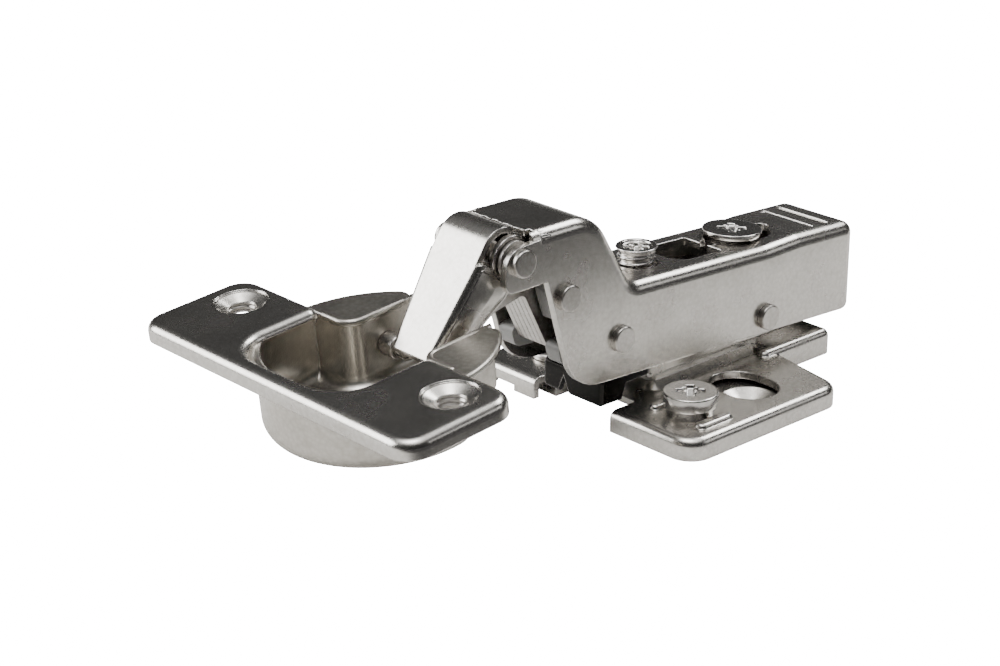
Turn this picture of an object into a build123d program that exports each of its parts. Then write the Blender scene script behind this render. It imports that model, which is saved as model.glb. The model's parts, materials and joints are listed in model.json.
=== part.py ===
"""Concealed cup hinge on its clip-on mounting plate, drawn with the door held open.

The origin is the centre of the two plate screw holes, on the face that lies on the cabinet side.
X runs into the cabinet, Y along the hinge line, and Z away from the cabinet side.
"""

from build123d import *
from math import cos, radians, sin, sqrt, tan
import os

# ---------------------------------------------------------------- mounting plate
plate_screw_spacing = 32.0      # hole to hole, along Y
plate_screw_hole_r = 2.5
plate_dish_r = 5.0              # mouth of each dished screw hole
base_sheet = 1.8
base_front = 19.6               # ahead of the screw line
base_rear = 7.6                 # behind the screw line
base_notch = 12.0               # the strap's middle is open ahead of this
base_notch_half = 9.0
base_corner_r = 3.0
plate_sheet = 1.2
wing_height = 3.7
wing_half_span = 24.8
wing_front = 23.3               # ahead of the screw line
wing_rear = 15.0
wing_outer_rear = 12.0
wing_corner_r = 4.0
wing_edge_r = 1.4
front_notch = 17.5              # the carriage's middle is open ahead of this
front_notch_near = 7.2
front_notch_far = 10.4
skirt_relief_inner = 15.2       # stretch of the far front skirt that stops short
skirt_relief_outer = 20.3
skirt_relief_height = 1.2
tail_half_width = 9.2
tail_height = 4.6
tail_front = 11.0               # behind the screw line
tail_rear = 28.1
spine_gap = 0.25                # between the spine and the adapter's walls
spine_height = 7.6
spine_front = 12.0              # ahead of the screw line
spine_rear = 14.0
spine_foot = 1.3                # width and height of the ramp round the spine's foot
skirt_gap = 0.15                # the carriage rides this far off the cabinet
height_travel = 2.0
access_slot_r = 4.8
access_slot_spread = 1.3
access_slot_shift = 1.6         # each slot sits this much nearer the middle than its screw
rib_length = 7.5
rib_r = 1.1

# ---------------------------------------------------------------- height cam and guide rivet
cam_ahead = 14.3                # cam axis ahead of the screw line
cam_head_r = 4.45
cam_head_height = 3.7
cam_neck_r = 3.85
cam_neck_height = 1.2
cam_shank_r = 2.6
cam_collar_r = 3.3
cam_swing = 60.0                # degrees each way
cam_disc_r = 2.8
cam_disc_gap = 0.25
guide_shank_r = 2.0
guide_head_r = 3.1
guide_head_height = 1.0
slide_gap = 0.1

# ---------------------------------------------------------------- arm
arm_tilt = 2.8                  # degrees, nose high
tilt_pin_x = 12.1
tilt_pin_z = 10.65
arm_width = 16.24
arm_sheet = 1.2
arm_edge_r = 2.0
arm_corner_r = 2.2              # plan corners at the rear
arm_bottom = 2.85               # below the tilt pin
arm_top = 11.95                 # above the tilt pin
arm_rear_top = 12.5
arm_rear = 22.5
arm_front = 44.1
arm_front_r = 7.5
hump_top = 24.85
hump_front_top = 24.3
hump_rear = 40.4
hump_r = 8.0
valley = 32.0
web_front = 53.8
web_relief = 1.0                # notch in the web beside each bend
notch_height = 16.2
notch_front = 50.7
nose_front = 59.2
nose_bottom = 15.65
nose_top = 23.3
step_front = 0.5
step_rear = 7.5

# ---------------------------------------------------------------- pins, ahead of and above the tilt pin
nose_pin_ahead = 56.26
nose_pin_up = 20.28
lever_pin_ahead = 46.49
lever_pin_up = 12.9
frame_pin_ahead = 34.32
frame_pin_up = 3.68
pin_r = 1.75
pin_head_r = 2.15
pin_head_height = 1.08
running_gap = 0.05
washer_r = 3.1
washer_sheet = 0.62
washer_gap = 0.15

# ---------------------------------------------------------------- adjusting screws on the arm
overlay_ahead = 23.5
overlay_r = 3.2
overlay_root_r = 2.85
overlay_ridges = 4
overlay_pitch = 1.0
overlay_rim_r = 3.4
overlay_rim_height = 0.9
overlay_top = 14.8
overlay_seat_r = 3.4
overlay_neck_r = 1.8
overlay_neck_play = 0.2
overlay_seat_play = 0.3
overlay_button_height = 1.4
overlay_thread_gap = 0.45
depth_ahead = 0.8
depth_head_r = 5.0
depth_head_height = 1.1
depth_head_top = 13.5
depth_neck_r = 3.7
depth_neck_gap = 0.4
depth_collar_r = 4.6
depth_collar_height = 0.9
depth_disc_r = 2.3
depth_disc_reach = 0.6          # below the adapter's web
depth_swing = 50.0
depth_travel = 1.5
depth_slot_half = 2.3
depth_tail_rear = 7.8           # end of the narrow slot behind the cam
depth_tail_width = 3.0
driver_r = 2.3
driver_depth = 1.5
driver_slot = 0.7
window_front = 18.0
window_rear = 7.6
window_half = 4.3
groove_depth = 0.25
groove_rear = 17.0
groove_front = 13.4
groove_half = 5.6

# ---------------------------------------------------------------- clip adapter and its lever
adapter_gap = 0.17
adapter_sheet = 1.2
adapter_top = 15.2
adapter_front = 24.8
adapter_slope_run = 8.2
adapter_slope_drop = 6.2
adapter_rear = 27.8
adapter_bottom = 6.2
hook_bottom = 4.4
hook_length = 5.2
hook_gap_top = 7.4
hook_gap_rear = 13.4            # ahead of the screw line
split_y = 1.84                  # the front wall's two halves part here, from this height down
split_top = 7.55
split_half = 1.5
cam_slot_gap = 0.65
lever_x = 21.5
lever_z = 11.4
lever_pivot_r = 1.25
lever_boss_r = 2.6
lever_room = 1.95               # beside the lever, for its spring
lever_wire_r = 0.35
lever_coil_r = 1.75
lever_coil_turns = 2.5

# ---------------------------------------------------------------- links
link_length = 18.75
link_angle = 47.63              # degrees below the horizontal, ahead of the nose pin
link_sheet = 1.0
web_offset = 5.4                # from the nose pin to the web's outer face
web_angle = 56.4                # slope of the link's flat web, degrees
curl_r = 4.35                   # outside of the tongue that curls over the nose pin
curl_gap = 0.15                 # between the tongue and the flanges
curl_end = 58.0                 # degrees above the horizontal, behind the nose pin
link_taper = 1.58               # lost on each side from the nose to the cup
link_edge_r = 1.1
link_ear_r = 3.7
link_eye_r = 2.3
link_shoulder = 2.6             # the flanges start this far below the nose pin
link_shoulder_r = 1.0
plate_count = 6
inner_plate_sheet = 1.1
inner_plate_gap = 0.12
inner_hub_r = 2.93
inner_eye_r = 2.2
inner_rivet_r = 1.25
lever_length = 9.9
lever_width = 4.2
lever_lean = 21.3               # degrees that the lever leans back from straight down

# ---------------------------------------------------------------- cup, in the frame of its screw line
cup_tilt = 5.75                 # degrees, rear high
cup_pivot_back = 14.5           # behind the screw line
cup_pivot_down = 7.5            # below the cover's top
cup_pivot_gap = 4.5             # between the two link pivots
cup_pivot_r = 1.25
cup_r = 17.5
cup_back = 6.0                  # cup centre behind the screw line
cup_depth = 11.3                # below the door face
cup_sheet = 1.0
cup_bottom_r = 3.0
cup_rim_r = 18.6
cup_rim_sheet = 0.7
cup_rim_tip_r = 2.2
cup_screw_spacing = 48.0
cup_screw_hole_r = 2.2
cup_screw_sink_r = 4.3
sink_step = 0.25
cover_sheet = 1.2
cover_drop = 2.8                # from the cover's top to the door face
cover_front = 14.0
cover_rear = 6.2
cover_half_length = 31.3
cover_corner_r = 4.0
cover_edge_r = 1.5
mouth_front = 10.4
mouth_half = 12.2
mouth_corner_r = 6.0
mouth_end_r = 2.0
cup_side_gap = 1.95             # between the cup's cheeks and the link at its widest
cheek_start = 8.6
cheek_r = 2.0
slot_floor = 10.6               # below the cover's top
bush_r = 1.9
bush_gap = 0.4                  # between the bush and the link's tapering ear
seam_gap = 0.1

# ---------------------------------------------------------------- damper cartridge
frame_front = 45.6
frame_rear = 27.2
frame_step = 39.2               # behind this the frame rises over the adapter
frame_step_up = 4.4
frame_low = 1.2
frame_high = 17.0
frame_prong_gap = 0.45          # beside the inner link
frame_gap = 0.12
barrel_r = 2.4
barrel_front = 35.0
barrel_length = 7.4
barrel_up = 8.0
rod_r = 1.1
rod_length = 8.0
rod_reach = 5.2                 # from the barrel to the button's face
rod_head_r = 1.9
rod_head_length = 1.0

# ---------------------------------------------------------------- half widths, each from the one outside it
arm_half = arm_width / 2
arm_inner_half = arm_half - arm_sheet
adapter_half = arm_inner_half - adapter_gap
adapter_inner_half = adapter_half - adapter_sheet
spine_half_width = adapter_inner_half - spine_gap
lever_half_width = adapter_inner_half - lever_room
link_top_half = arm_inner_half - washer_sheet - washer_gap
link_end_half = link_top_half - link_taper
curl_half = link_top_half - link_sheet - curl_gap
slot_half = link_top_half + cup_side_gap
frame_inner_half = plate_count * inner_plate_sheet / 2 + frame_prong_gap


# ---------------------------------------------------------------- shared shapes
arm_frame = Location((tilt_pin_x, 0, tilt_pin_z), (0, arm_tilt, 0))


def arm_point(ahead, up):
    """Place in the row frame of a point given ahead of and above the tilt pin."""
    return (arm_frame * Pos(-ahead, 0, up)).position


nose_pin = arm_point(nose_pin_ahead, nose_pin_up)
lever_pin = arm_point(lever_pin_ahead, lever_pin_up)
cup_pivot = Vector(
    nose_pin.X - link_length * cos(radians(link_angle)),
    0,
    nose_pin.Z - link_length * sin(radians(link_angle)),
)
cup_turn = radians(cup_tilt)
cup_origin = Vector(
    cup_pivot.X - cup_pivot_back * cos(cup_turn) - cup_pivot_down * sin(cup_turn),
    0,
    cup_pivot.Z - cup_pivot_back * sin(cup_turn) + cup_pivot_down * cos(cup_turn),
)
cup_frame = Location((cup_origin.X, 0, cup_origin.Z), (0, -cup_tilt, 0))
inner_pivot = (cup_frame * Pos(cup_pivot_back + cup_pivot_gap, 0, -cup_pivot_down)).position


def outline(corners):
    """Closed face through (u, v, radius) corners, on the XY plane."""
    points = [(u, v) for u, v, _ in corners]
    radii = [r for _, _, r in corners]
    return make_face(FilletPolyline(*points, radius=radii, close=True))


def side_plate(corners, thickness, middle=0.0):
    """Plate of the given outline in the XZ plane, centred on y = middle."""
    return Pos(0, middle, 0) * extrude(Plane.XZ * outline(corners), amount=thickness / 2, both=True)


def cross_rod(x, z, radius, length, middle=0.0):
    """Cylinder along Y, centred on y = middle."""
    return Pos(x, middle, z) * Rot(90, 0, 0) * Cylinder(radius, length)


def plan_block(corners, low, high):
    """Prism of a plan outline between two heights."""
    return Pos(0, 0, low) * extrude(outline(corners), amount=high - low)


def rectangle_corners(x0, x1, half, radius):
    return [(x0, -half, radius), (x1, -half, radius), (x1, half, radius), (x0, half, radius)]


def round_post(x, y, low, high, radius):
    return Pos(x, y, (low + high) / 2) * Cylinder(radius, high - low)


def driver_recess(top):
    """Cross recess of a screw head on the Z axis, with four narrow marks between its wings."""
    wing = Box(2 * driver_r, driver_slot, driver_depth)
    mark = Box(2 * driver_r * 0.8, driver_slot / 3, driver_depth / 3)
    cross = wing + Rot(0, 0, 90) * wing
    cross += Pos(0, 0, driver_depth / 3) * (Rot(0, 0, 45) * mark + Rot(0, 0, 135) * mark)
    cross += Cone(driver_slot * 0.4, driver_r * 0.55, driver_depth)
    return Pos(0, 0, top - driver_depth / 2) * cross


def headed_pin(x, z, half_width):
    """Riveted cross pin with a head standing out of each wall."""
    pin = cross_rod(x, z, pin_r, 2 * half_width)
    for side in (-1, 1):
        head = cross_rod(x, z, pin_head_r, pin_head_height, side * (half_width + pin_head_height / 2))
        rim = head.edges().filter_by(GeomType.CIRCLE).sort_by(Axis.Y)[0 if side < 0 else -1]
        pin += fillet(rim, pin_head_height * 0.25)
    return pin


# ---------------------------------------------------------------- mounting plate
cam_axis = (-cam_ahead, -plate_screw_spacing / 2)
guide_axis = (-cam_ahead, plate_screw_spacing / 2)
cam_throw = height_travel / sin(radians(cam_swing))
wing_under = wing_height - plate_sheet


def plate_base():
    """Strap that the two wood screws hold down; it has a dish round each screw and the cam's cross slot."""
    half_span = wing_half_span - plate_sheet - height_travel - 2 * slide_gap
    strap = plan_block(rectangle_corners(-base_front, base_rear, half_span, base_corner_r), 0, base_sheet)
    sink_height = base_sheet * 0.7
    for side in (-1, 1):
        y = side * plate_screw_spacing / 2
        strap -= round_post(0, y, -1, base_sheet + 1, plate_screw_hole_r)
        sink = Cone(plate_screw_hole_r, plate_dish_r, sink_height)
        strap -= Pos(0, y, base_sheet - sink_height / 2) * sink
    slot_r = cam_disc_r + cam_disc_gap
    slot = SlotCenterToCenter(cam_throw, 2 * slot_r)
    strap -= Pos(cam_axis[0] + cam_throw / 2, cam_axis[1], -1) * extrude(slot, amount=base_sheet + 2)
    strap -= round_post(*guide_axis, -1, base_sheet + 1, guide_shank_r)
    notch = rectangle_corners(-base_front - 1, -base_notch, base_notch_half, 0)
    return strap - plan_block(notch, -1, base_sheet + 1)


def wing_outline(inset):
    """Plan of both wings, drawn in by the given inset."""
    radius = wing_corner_r - inset
    front = -wing_front + inset
    half = wing_half_span - inset
    return [
        (front, -half, radius),
        (wing_outer_rear - inset, -half, radius),
        (wing_rear - inset, -tail_half_width, 0),
        (wing_rear - inset, tail_half_width, 0),
        (wing_outer_rear - inset, half, radius),
        (front, half, radius),
    ]


def plate_carriage():
    """Folded sheet that clips the arm: two wings, a tail and a raised spine, open underneath."""
    wings = plan_block(wing_outline(0), skirt_gap, wing_height)
    wings = fillet(wings.edges().group_by(Axis.Z)[-1], wing_edge_r)
    tail_corners = rectangle_corners(tail_front, tail_rear, tail_half_width, wing_edge_r)
    tail = plan_block(tail_corners, skirt_gap, tail_height)
    tail = fillet(tail.edges().group_by(Axis.Z)[-1], wing_edge_r)
    spine_corners = rectangle_corners(-spine_front, spine_rear, spine_half_width, 1.0)
    spine = plan_block(spine_corners, skirt_gap, spine_height)
    spine = fillet(spine.edges().group_by(Axis.Z)[-1], wing_edge_r / 2)
    foot_half = spine_half_width + spine_foot
    foot_plan = outline(rectangle_corners(-spine_front - spine_foot, spine_rear, foot_half, 1.0 + spine_foot))
    foot = Pos(0, 0, wing_height) * extrude(foot_plan, amount=spine_foot, taper=45)
    sheet = wings + tail + spine + foot
    sheet -= plan_block(wing_outline(plate_sheet), -1, wing_under)
    inner_tail = rectangle_corners(0, tail_rear - plate_sheet, tail_half_width - plate_sheet, 0.4)
    sheet -= plan_block(inner_tail, -1, tail_height - plate_sheet)
    inner_spine = rectangle_corners(
        -spine_front + plate_sheet, spine_rear - plate_sheet, spine_half_width - plate_sheet, 0.4
    )
    sheet -= plan_block(inner_spine, -1, spine_height - plate_sheet)
    access = Rot(0, 0, 90) * SlotCenterToCenter(2 * access_slot_spread, 2 * access_slot_r)
    for side in (-1, 1):
        y = side * (plate_screw_spacing / 2 - access_slot_shift)
        sheet -= Pos(0, y, 0) * extrude(access, amount=wing_height + 1)
    cam_reach = cam_neck_r + slide_gap + rib_r
    guide_reach = guide_head_r + height_travel + slide_gap + rib_r
    for axis, reach in ((cam_axis, cam_reach), (guide_axis, guide_reach)):
        for end in (-1, 1):
            sheet += bead(axis[0], axis[1] + end * reach)
    sheet -= round_post(*cam_axis, 0, wing_height + 1, cam_shank_r + running_gap)
    guide = Rot(0, 0, 90) * SlotCenterToCenter(2 * height_travel, 2 * (guide_shank_r + slide_gap))
    sheet -= Pos(guide_axis[0], guide_axis[1], 0) * extrude(guide, amount=wing_height + 1)
    notch = [
        (-wing_front - 1, -front_notch_near, 0),
        (-front_notch, -front_notch_near, 0.6),
        (-front_notch, front_notch_far, 0.6),
        (-wing_front - 1, front_notch_far, 0),
    ]
    sheet -= plan_block(notch, -1, wing_height + 2)
    relief = [
        (-wing_front - 1, skirt_relief_inner, 0),
        (-wing_front + plate_sheet, skirt_relief_inner, 0),
        (-wing_front + plate_sheet, skirt_relief_outer, 0),
        (-wing_front - 1, skirt_relief_outer, 0),
    ]
    return sheet - plan_block(relief, -1, skirt_relief_height)


def bead(x, y):
    """Raised stiffening rib on a wing, running along X."""
    body = extrude(SlotOverall(rib_length, 2 * rib_r), amount=plate_sheet / 2 + rib_r * 0.6)
    body = fillet(body.edges().group_by(Axis.Z)[-1], rib_r * 0.55)
    return Pos(x, y, wing_height - plate_sheet / 2) * body


def height_cam_screw():
    """Head, shank, collar under the wing and the eccentric disc that runs in the strap's slot."""
    head_low = wing_height + running_gap
    head = round_post(0, 0, head_low + cam_neck_height, head_low + cam_head_height, cam_head_r)
    head = fillet(head.edges().group_by(Axis.Z)[-1], 0.3)
    head += round_post(0, 0, head_low, head_low + cam_neck_height, cam_neck_r)
    head -= driver_recess(head_low + cam_head_height)
    shank = round_post(0, 0, wing_under - running_gap, head_low, cam_shank_r)
    collar = round_post(0, 0, base_sheet + running_gap, wing_under - running_gap, cam_collar_r)
    disc = round_post(cam_throw, 0, running_gap, base_sheet + running_gap, cam_disc_r)
    return Pos(cam_axis[0], cam_axis[1], 0) * (head + shank + collar + disc)


def guide_rivet():
    """Rivet fixed in the strap that the far wing slides along."""
    head_low = wing_height + slide_gap
    head = round_post(0, 0, head_low, head_low + guide_head_height, guide_head_r)
    head = fillet(head.edges().group_by(Axis.Z)[-1], guide_head_height * 0.6)
    shank = round_post(0, 0, 0, head_low, guide_shank_r)
    return Pos(guide_axis[0], guide_axis[1], 0) * (head + shank)


# ---------------------------------------------------------------- arm
arm_rear_lean = (arm_rear_top + arm_bottom) * tan(radians(arm_tilt))    # keeps its end square to the plate


def arm_top_path(inset):
    """Corners along the top of the arm from its web edge to the rear, set in square to each face."""
    slope = (hump_top - arm_top) / (hump_rear - valley)
    lean = sqrt(1 + slope * slope)
    shift = inset * (lean - 1) / slope
    return [
        (-hump_rear - shift, hump_top - inset, hump_r - inset),
        (-valley - shift, arm_top - inset, 3.0 + inset),
        (-step_front, arm_top - inset, 3.0),
        (step_rear, arm_rear_top - inset, 3.0),
        (arm_rear - arm_rear_lean - inset, arm_rear_top - inset, 0.5 * inset),
    ]


def arm():
    """Folded channel with a raised hump and two ears at the nose, open underneath."""
    lower = [
        (arm_rear, -arm_bottom, 3.0),
        (-arm_front, -arm_bottom, arm_front_r),
        (-notch_front, notch_height, 0.6),
        (-web_front, notch_height, 0),
    ]
    body = side_plate([(-web_front, hump_front_top, 0)] + arm_top_path(0) + lower, arm_width)
    length = 2 * nose_front
    plan = [
        (-length, -arm_half, 0),
        (0, -arm_half, arm_corner_r),
        (0, arm_half, arm_corner_r),
        (-length, arm_half, 0),
    ]
    upright = Location((arm_rear, 0, -arm_bottom), (0, -arm_tilt, 0))
    body &= upright * plan_block(plan, -arm_bottom, 2 * hump_top)
    upper = [e for e in body.edges() if e.center().Z > arm_top - 0.5 and e.center().X > -notch_front]
    rounded = [
        e for e in upper
        if abs(abs(e.center().Y) - arm_half) < 0.01 or e.center().X > arm_rear - arm_corner_r
    ]
    body = fillet(rounded, arm_edge_r)
    ear = [
        (-web_front + 1.5, notch_height, 0),
        (-web_front + 1.5, nose_top - 0.2, 0),
        (-nose_front, nose_top - 0.9, 3.0),
        (-nose_front, nose_bottom, 1.5),
        (-notch_front, notch_height, 0),
    ]
    for side in (-1, 1):
        body += side_plate(ear, arm_sheet, side * (arm_half - arm_sheet / 2))
    hollow = [(-web_front - 10, hump_front_top - arm_sheet, 0)] + arm_top_path(arm_sheet)
    hollow += [(arm_rear - arm_sheet, -arm_bottom - 10, 0), (-web_front - 10, -arm_bottom - 10, 0)]
    body -= side_plate(hollow, 2 * arm_inner_half)
    nose_space = [
        (-nose_front - 5, nose_bottom - 5, 0),
        (-web_front, nose_bottom - 5, 0),
        (-web_front, hump_top + 5, 0),
        (-nose_front - 5, hump_top + 5, 0),
    ]
    body -= side_plate(nose_space, 2 * arm_inner_half)
    for side in (-1, 1):
        relief = Box(2 * web_relief, web_relief, hump_top)
        body -= Pos(-web_front, side * (arm_inner_half - web_relief / 2), hump_top) * relief
    body -= top_openings()
    pins = [
        (nose_pin_ahead, nose_pin_up),
        (lever_pin_ahead, lever_pin_up),
        (frame_pin_ahead, frame_pin_up),
        (0, 0),
    ]
    for ahead, up in pins:
        body -= cross_rod(-ahead, up, pin_r, 2 * arm_width)
    return arm_frame * body


def top_openings():
    """Screw hole, driver window, cam slot and two shallow grooves in the arm's web."""
    hole = round_post(-overlay_ahead, 0, arm_top - 4, arm_top + 4, overlay_r + overlay_thread_gap)
    window = [
        (-window_front + 2.2, -window_half, 1.5),
        (-window_rear, -window_half, 0.5),
        (-window_rear, window_half, 0.5),
        (-window_front + 2.2, window_half, 1.5),
        (-window_front, window_half * 0.45, 1.5),
        (-window_front, -window_half * 0.45, 1.5),
    ]
    cut = hole + plan_block(window, arm_top - 4, arm_top + 4)
    slot = SlotCenterToCenter(depth_slot_half * 2, 2 * (depth_neck_r + depth_neck_gap))
    cut += Pos(0.5, 0, arm_top - 4) * extrude(slot, amount=8)
    tail = SlotOverall(2 * depth_tail_rear, depth_tail_width)
    cut += Pos(0, 0, arm_top - 4) * extrude(tail, amount=8)
    for place, width in ((groove_rear, 1.1), (groove_front, 0.5)):
        groove = Rot(0, 0, 90) * SlotOverall(2 * groove_half, width)
        cut += Pos(place, 0, arm_rear_top - groove_depth) * extrude(groove, amount=2)
    return cut


def nose_pin_rivet():
    return arm_frame * headed_pin(-nose_pin_ahead, nose_pin_up, arm_half)


def nose_washer(side):
    """Washer between one ear of the arm and the outer link."""
    middle = side * (arm_inner_half - washer_sheet / 2)
    ring = cross_rod(nose_pin.X, nose_pin.Z, washer_r, washer_sheet, middle)
    return ring - cross_rod(nose_pin.X, nose_pin.Z, pin_r, arm_width)


def lever_pin_rivet():
    return arm_frame * headed_pin(-lever_pin_ahead, lever_pin_up, arm_half)


def frame_pin_rivet():
    return arm_frame * headed_pin(-frame_pin_ahead, frame_pin_up, arm_half)


def tilt_pin():
    """Pin that the arm tips on; it slides fore and aft in the adapter's slots."""
    return arm_frame * headed_pin(0, 0, arm_half + running_gap)


def overlay_screw():
    """Threaded side-adjusting screw whose neck is held in the adapter."""
    top = arm_point(overlay_ahead, overlay_top).Z
    low = adapter_top + overlay_seat_play
    body = round_post(0, 0, low, top, overlay_root_r)
    rim = round_post(0, 0, top - overlay_rim_height, top, overlay_rim_r)
    body += fillet(rim.edges().group_by(Axis.Z)[-1], 0.25)
    for ridge in range(overlay_ridges):
        height = top - overlay_rim_height - (ridge + 0.7) * overlay_pitch
        lower = Cone(overlay_root_r, overlay_r, overlay_pitch * 0.35)
        upper = Cone(overlay_r, overlay_root_r, overlay_pitch * 0.35)
        body += Pos(0, 0, height - overlay_pitch * 0.175) * lower
        body += Pos(0, 0, height + overlay_pitch * 0.175) * upper
    body -= driver_recess(top)
    neck_low = adapter_top - adapter_sheet - overlay_neck_play
    neck = round_post(0, 0, neck_low, low, overlay_neck_r)
    button = round_post(0, 0, neck_low - overlay_button_height, neck_low, overlay_seat_r)
    x = arm_point(overlay_ahead, arm_top).X
    return Pos(x, 0, 0) * (body + neck + button)


def depth_cam_screw():
    """Flat-headed cam in the arm's web whose eccentric end pushes on the adapter."""
    head_low = depth_head_top - depth_head_height
    head = round_post(0, 0, head_low, depth_head_top, depth_head_r)
    head = fillet(head.edges().group_by(Axis.Z)[-1], 0.3)
    head -= driver_recess(depth_head_top)
    collar_top = arm_top - arm_sheet - slide_gap
    collar_low = collar_top - depth_collar_height
    neck = round_post(0, 0, collar_top, head_low, depth_neck_r)
    collar = round_post(0, 0, collar_low, collar_top, depth_collar_r)
    throw = depth_travel / sin(radians(depth_swing))
    low = adapter_top - tilt_pin_z - adapter_sheet - depth_disc_reach
    disc = round_post(0, throw, low, collar_low, depth_disc_r)
    return arm_frame * (Pos(-depth_ahead, 0, 0) * (head + neck + collar + disc))


# ---------------------------------------------------------------- clip adapter
def adapter():
    """Channel inside the arm that hooks over the carriage's spine and is latched by the lever."""
    side = [
        (-adapter_front, hook_bottom, 0.6),
        (-adapter_front, adapter_top - adapter_slope_drop, 2.0),
        (-adapter_front + adapter_slope_run, adapter_top, 2.0),
        (adapter_rear, adapter_top, 2.0),
        (adapter_rear + 2.0, adapter_bottom + 2.6, 1.5),
        (adapter_rear + 1.0, adapter_bottom, 0.8),
        (-adapter_front + hook_length, adapter_bottom, 0.8),
        (-adapter_front + hook_length, hook_bottom, 0.6),
    ]
    channel = side_plate(side, 2 * adapter_half)
    long_edges = [
        e for e in channel.edges()
        if abs(abs(e.center().Y) - adapter_half) < 0.01 and e.center().Z > adapter_top - 0.1
    ]
    channel = fillet(long_edges, adapter_sheet * 0.7)
    hook_gap = [
        (-adapter_front + hook_length, 0, 0),
        (-hook_gap_rear, 0, 0),
        (-hook_gap_rear, hook_gap_top, 0.5),
        (-adapter_front + hook_length, hook_gap_top, 0.5),
    ]
    channel -= side_plate(hook_gap, 4 * adapter_half)
    slope = adapter_slope_drop / adapter_slope_run
    slope_sheet = adapter_sheet * sqrt(1 + slope * slope)
    slope_end = -adapter_front + adapter_slope_run
    front = -adapter_front + adapter_sheet
    hollow = [
        (front, 0, 0),
        (front, adapter_top - adapter_slope_drop + slope * adapter_sheet - slope_sheet, 0),
        (slope_end + (slope_sheet - adapter_sheet) / slope, adapter_top - adapter_sheet, 0),
        (adapter_rear + 8, adapter_top - adapter_sheet, 0),
        (adapter_rear + 8, 0, 0),
    ]
    channel -= side_plate(hollow, 2 * adapter_inner_half)
    split_points = [
        (split_y - split_half, hook_bottom - 0.3),
        (split_y + split_half, hook_bottom - 0.3),
        (split_y, split_top),
    ]
    split = Plane.YZ * make_face(Polyline(*split_points, close=True))
    channel -= Pos(-adapter_front - 1, 0, 0) * extrude(split, amount=adapter_sheet + 1.5)
    pin_slot = [
        (tilt_pin_x - pin_r - depth_travel - 0.1, tilt_pin_z - pin_r - slide_gap, 1.5),
        (tilt_pin_x + pin_r + depth_travel + 0.1, tilt_pin_z - pin_r - slide_gap, 1.5),
        (tilt_pin_x + pin_r + depth_travel + 0.1, tilt_pin_z + pin_r + slide_gap, 1.5),
        (tilt_pin_x - pin_r - depth_travel - 0.1, tilt_pin_z + pin_r + slide_gap, 1.5),
    ]
    channel -= side_plate(pin_slot, 4 * adapter_half)
    channel -= cross_rod(lever_x, lever_z, lever_pivot_r, 4 * adapter_half)
    neck_x = arm_point(overlay_ahead, arm_top).X
    neck_slot = SlotCenterToCenter(2 * depth_travel + 0.6, 2 * (overlay_neck_r + slide_gap))
    channel -= Pos(neck_x, 0, adapter_top - 2 * adapter_sheet) * extrude(neck_slot, amount=6)
    cam_place = arm_point(depth_ahead, adapter_top - adapter_sheet / 2 - tilt_pin_z)
    cross = Rot(0, 0, 90) * SlotCenterToCenter(
        2 * depth_travel / tan(radians(depth_swing)), 2 * (depth_disc_r + cam_slot_gap)
    )
    throw = depth_travel / sin(radians(depth_swing))
    channel -= Pos(cam_place.X, throw * 0.8, adapter_top - 2 * adapter_sheet) * extrude(cross, amount=6)
    return channel


def clip_lever():
    """Latch lever: it hooks under the spine's rear edge and ends in a finger tab."""
    shape = [
        (lever_x - 2.4, lever_z + 1.6, 1.2),
        (lever_x + 2.4, lever_z + 1.6, 1.2),
        (lever_x + 7.4, lever_z - 1.0, 0.8),
        (lever_x + 7.6, lever_z - 3.9, 0.8),
        (lever_x + 3.4, lever_z - 3.4, 0.8),
        (lever_x - 4.6, lever_z - 5.2, 0.4),
        (lever_x - 5.2, lever_z - 3.6, 0.5),
    ]
    lever = side_plate(shape, 2 * lever_half_width)
    lever += cross_rod(lever_x, lever_z, lever_boss_r, 2 * lever_half_width)
    lever -= cross_rod(lever_x, lever_z, lever_pivot_r + running_gap, 4 * lever_half_width)
    return lever


def clip_lever_pin():
    return cross_rod(lever_x, lever_z, lever_pivot_r, 2 * adapter_half)


def clip_spring():
    """Small torsion spring round the lever's pin, between the lever and one wall."""
    room = adapter_inner_half - lever_half_width
    pitch = room * 0.7 / lever_coil_turns
    path = Helix(pitch, pitch * lever_coil_turns, lever_coil_r + lever_wire_r)
    ring = Plane(origin=path @ 0, z_dir=path % 0) * Circle(lever_wire_r)
    coil = sweep(ring, path=path, is_frenet=True)
    return Pos(lever_x, lever_half_width + room * 0.15, lever_z) * Rot(-90, 0, 0) * coil


# ---------------------------------------------------------------- links
link_slope = radians(web_angle)
link_along = Vector(-cos(link_slope), 0, -sin(link_slope))
link_out = Vector(-sin(link_slope), 0, cos(link_slope))
web_top = nose_pin + link_out * web_offset
web_end = web_top + link_along * ((cup_pivot - nose_pin).dot(link_along) + 0.4)


def link_wedge(inset):
    """Space that narrows from the knuckle to the cup end, seen square to the web, drawn in by the inset."""
    reach = 4 * web_offset
    length = (web_end - web_top).length
    half_top = link_top_half - inset
    half_reach = half_top - (link_top_half - link_end_half) * (length + reach) / length
    corners = [
        (-reach, -half_top),
        (0, -half_top),
        (length + reach, -half_reach),
        (length + reach, half_reach),
        (0, half_top),
        (-reach, half_top),
    ]
    web_plane = Plane(origin=web_top, x_dir=link_along, z_dir=link_out)
    return extrude(web_plane * make_face(Polyline(*corners, close=True)), amount=-reach)


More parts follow.
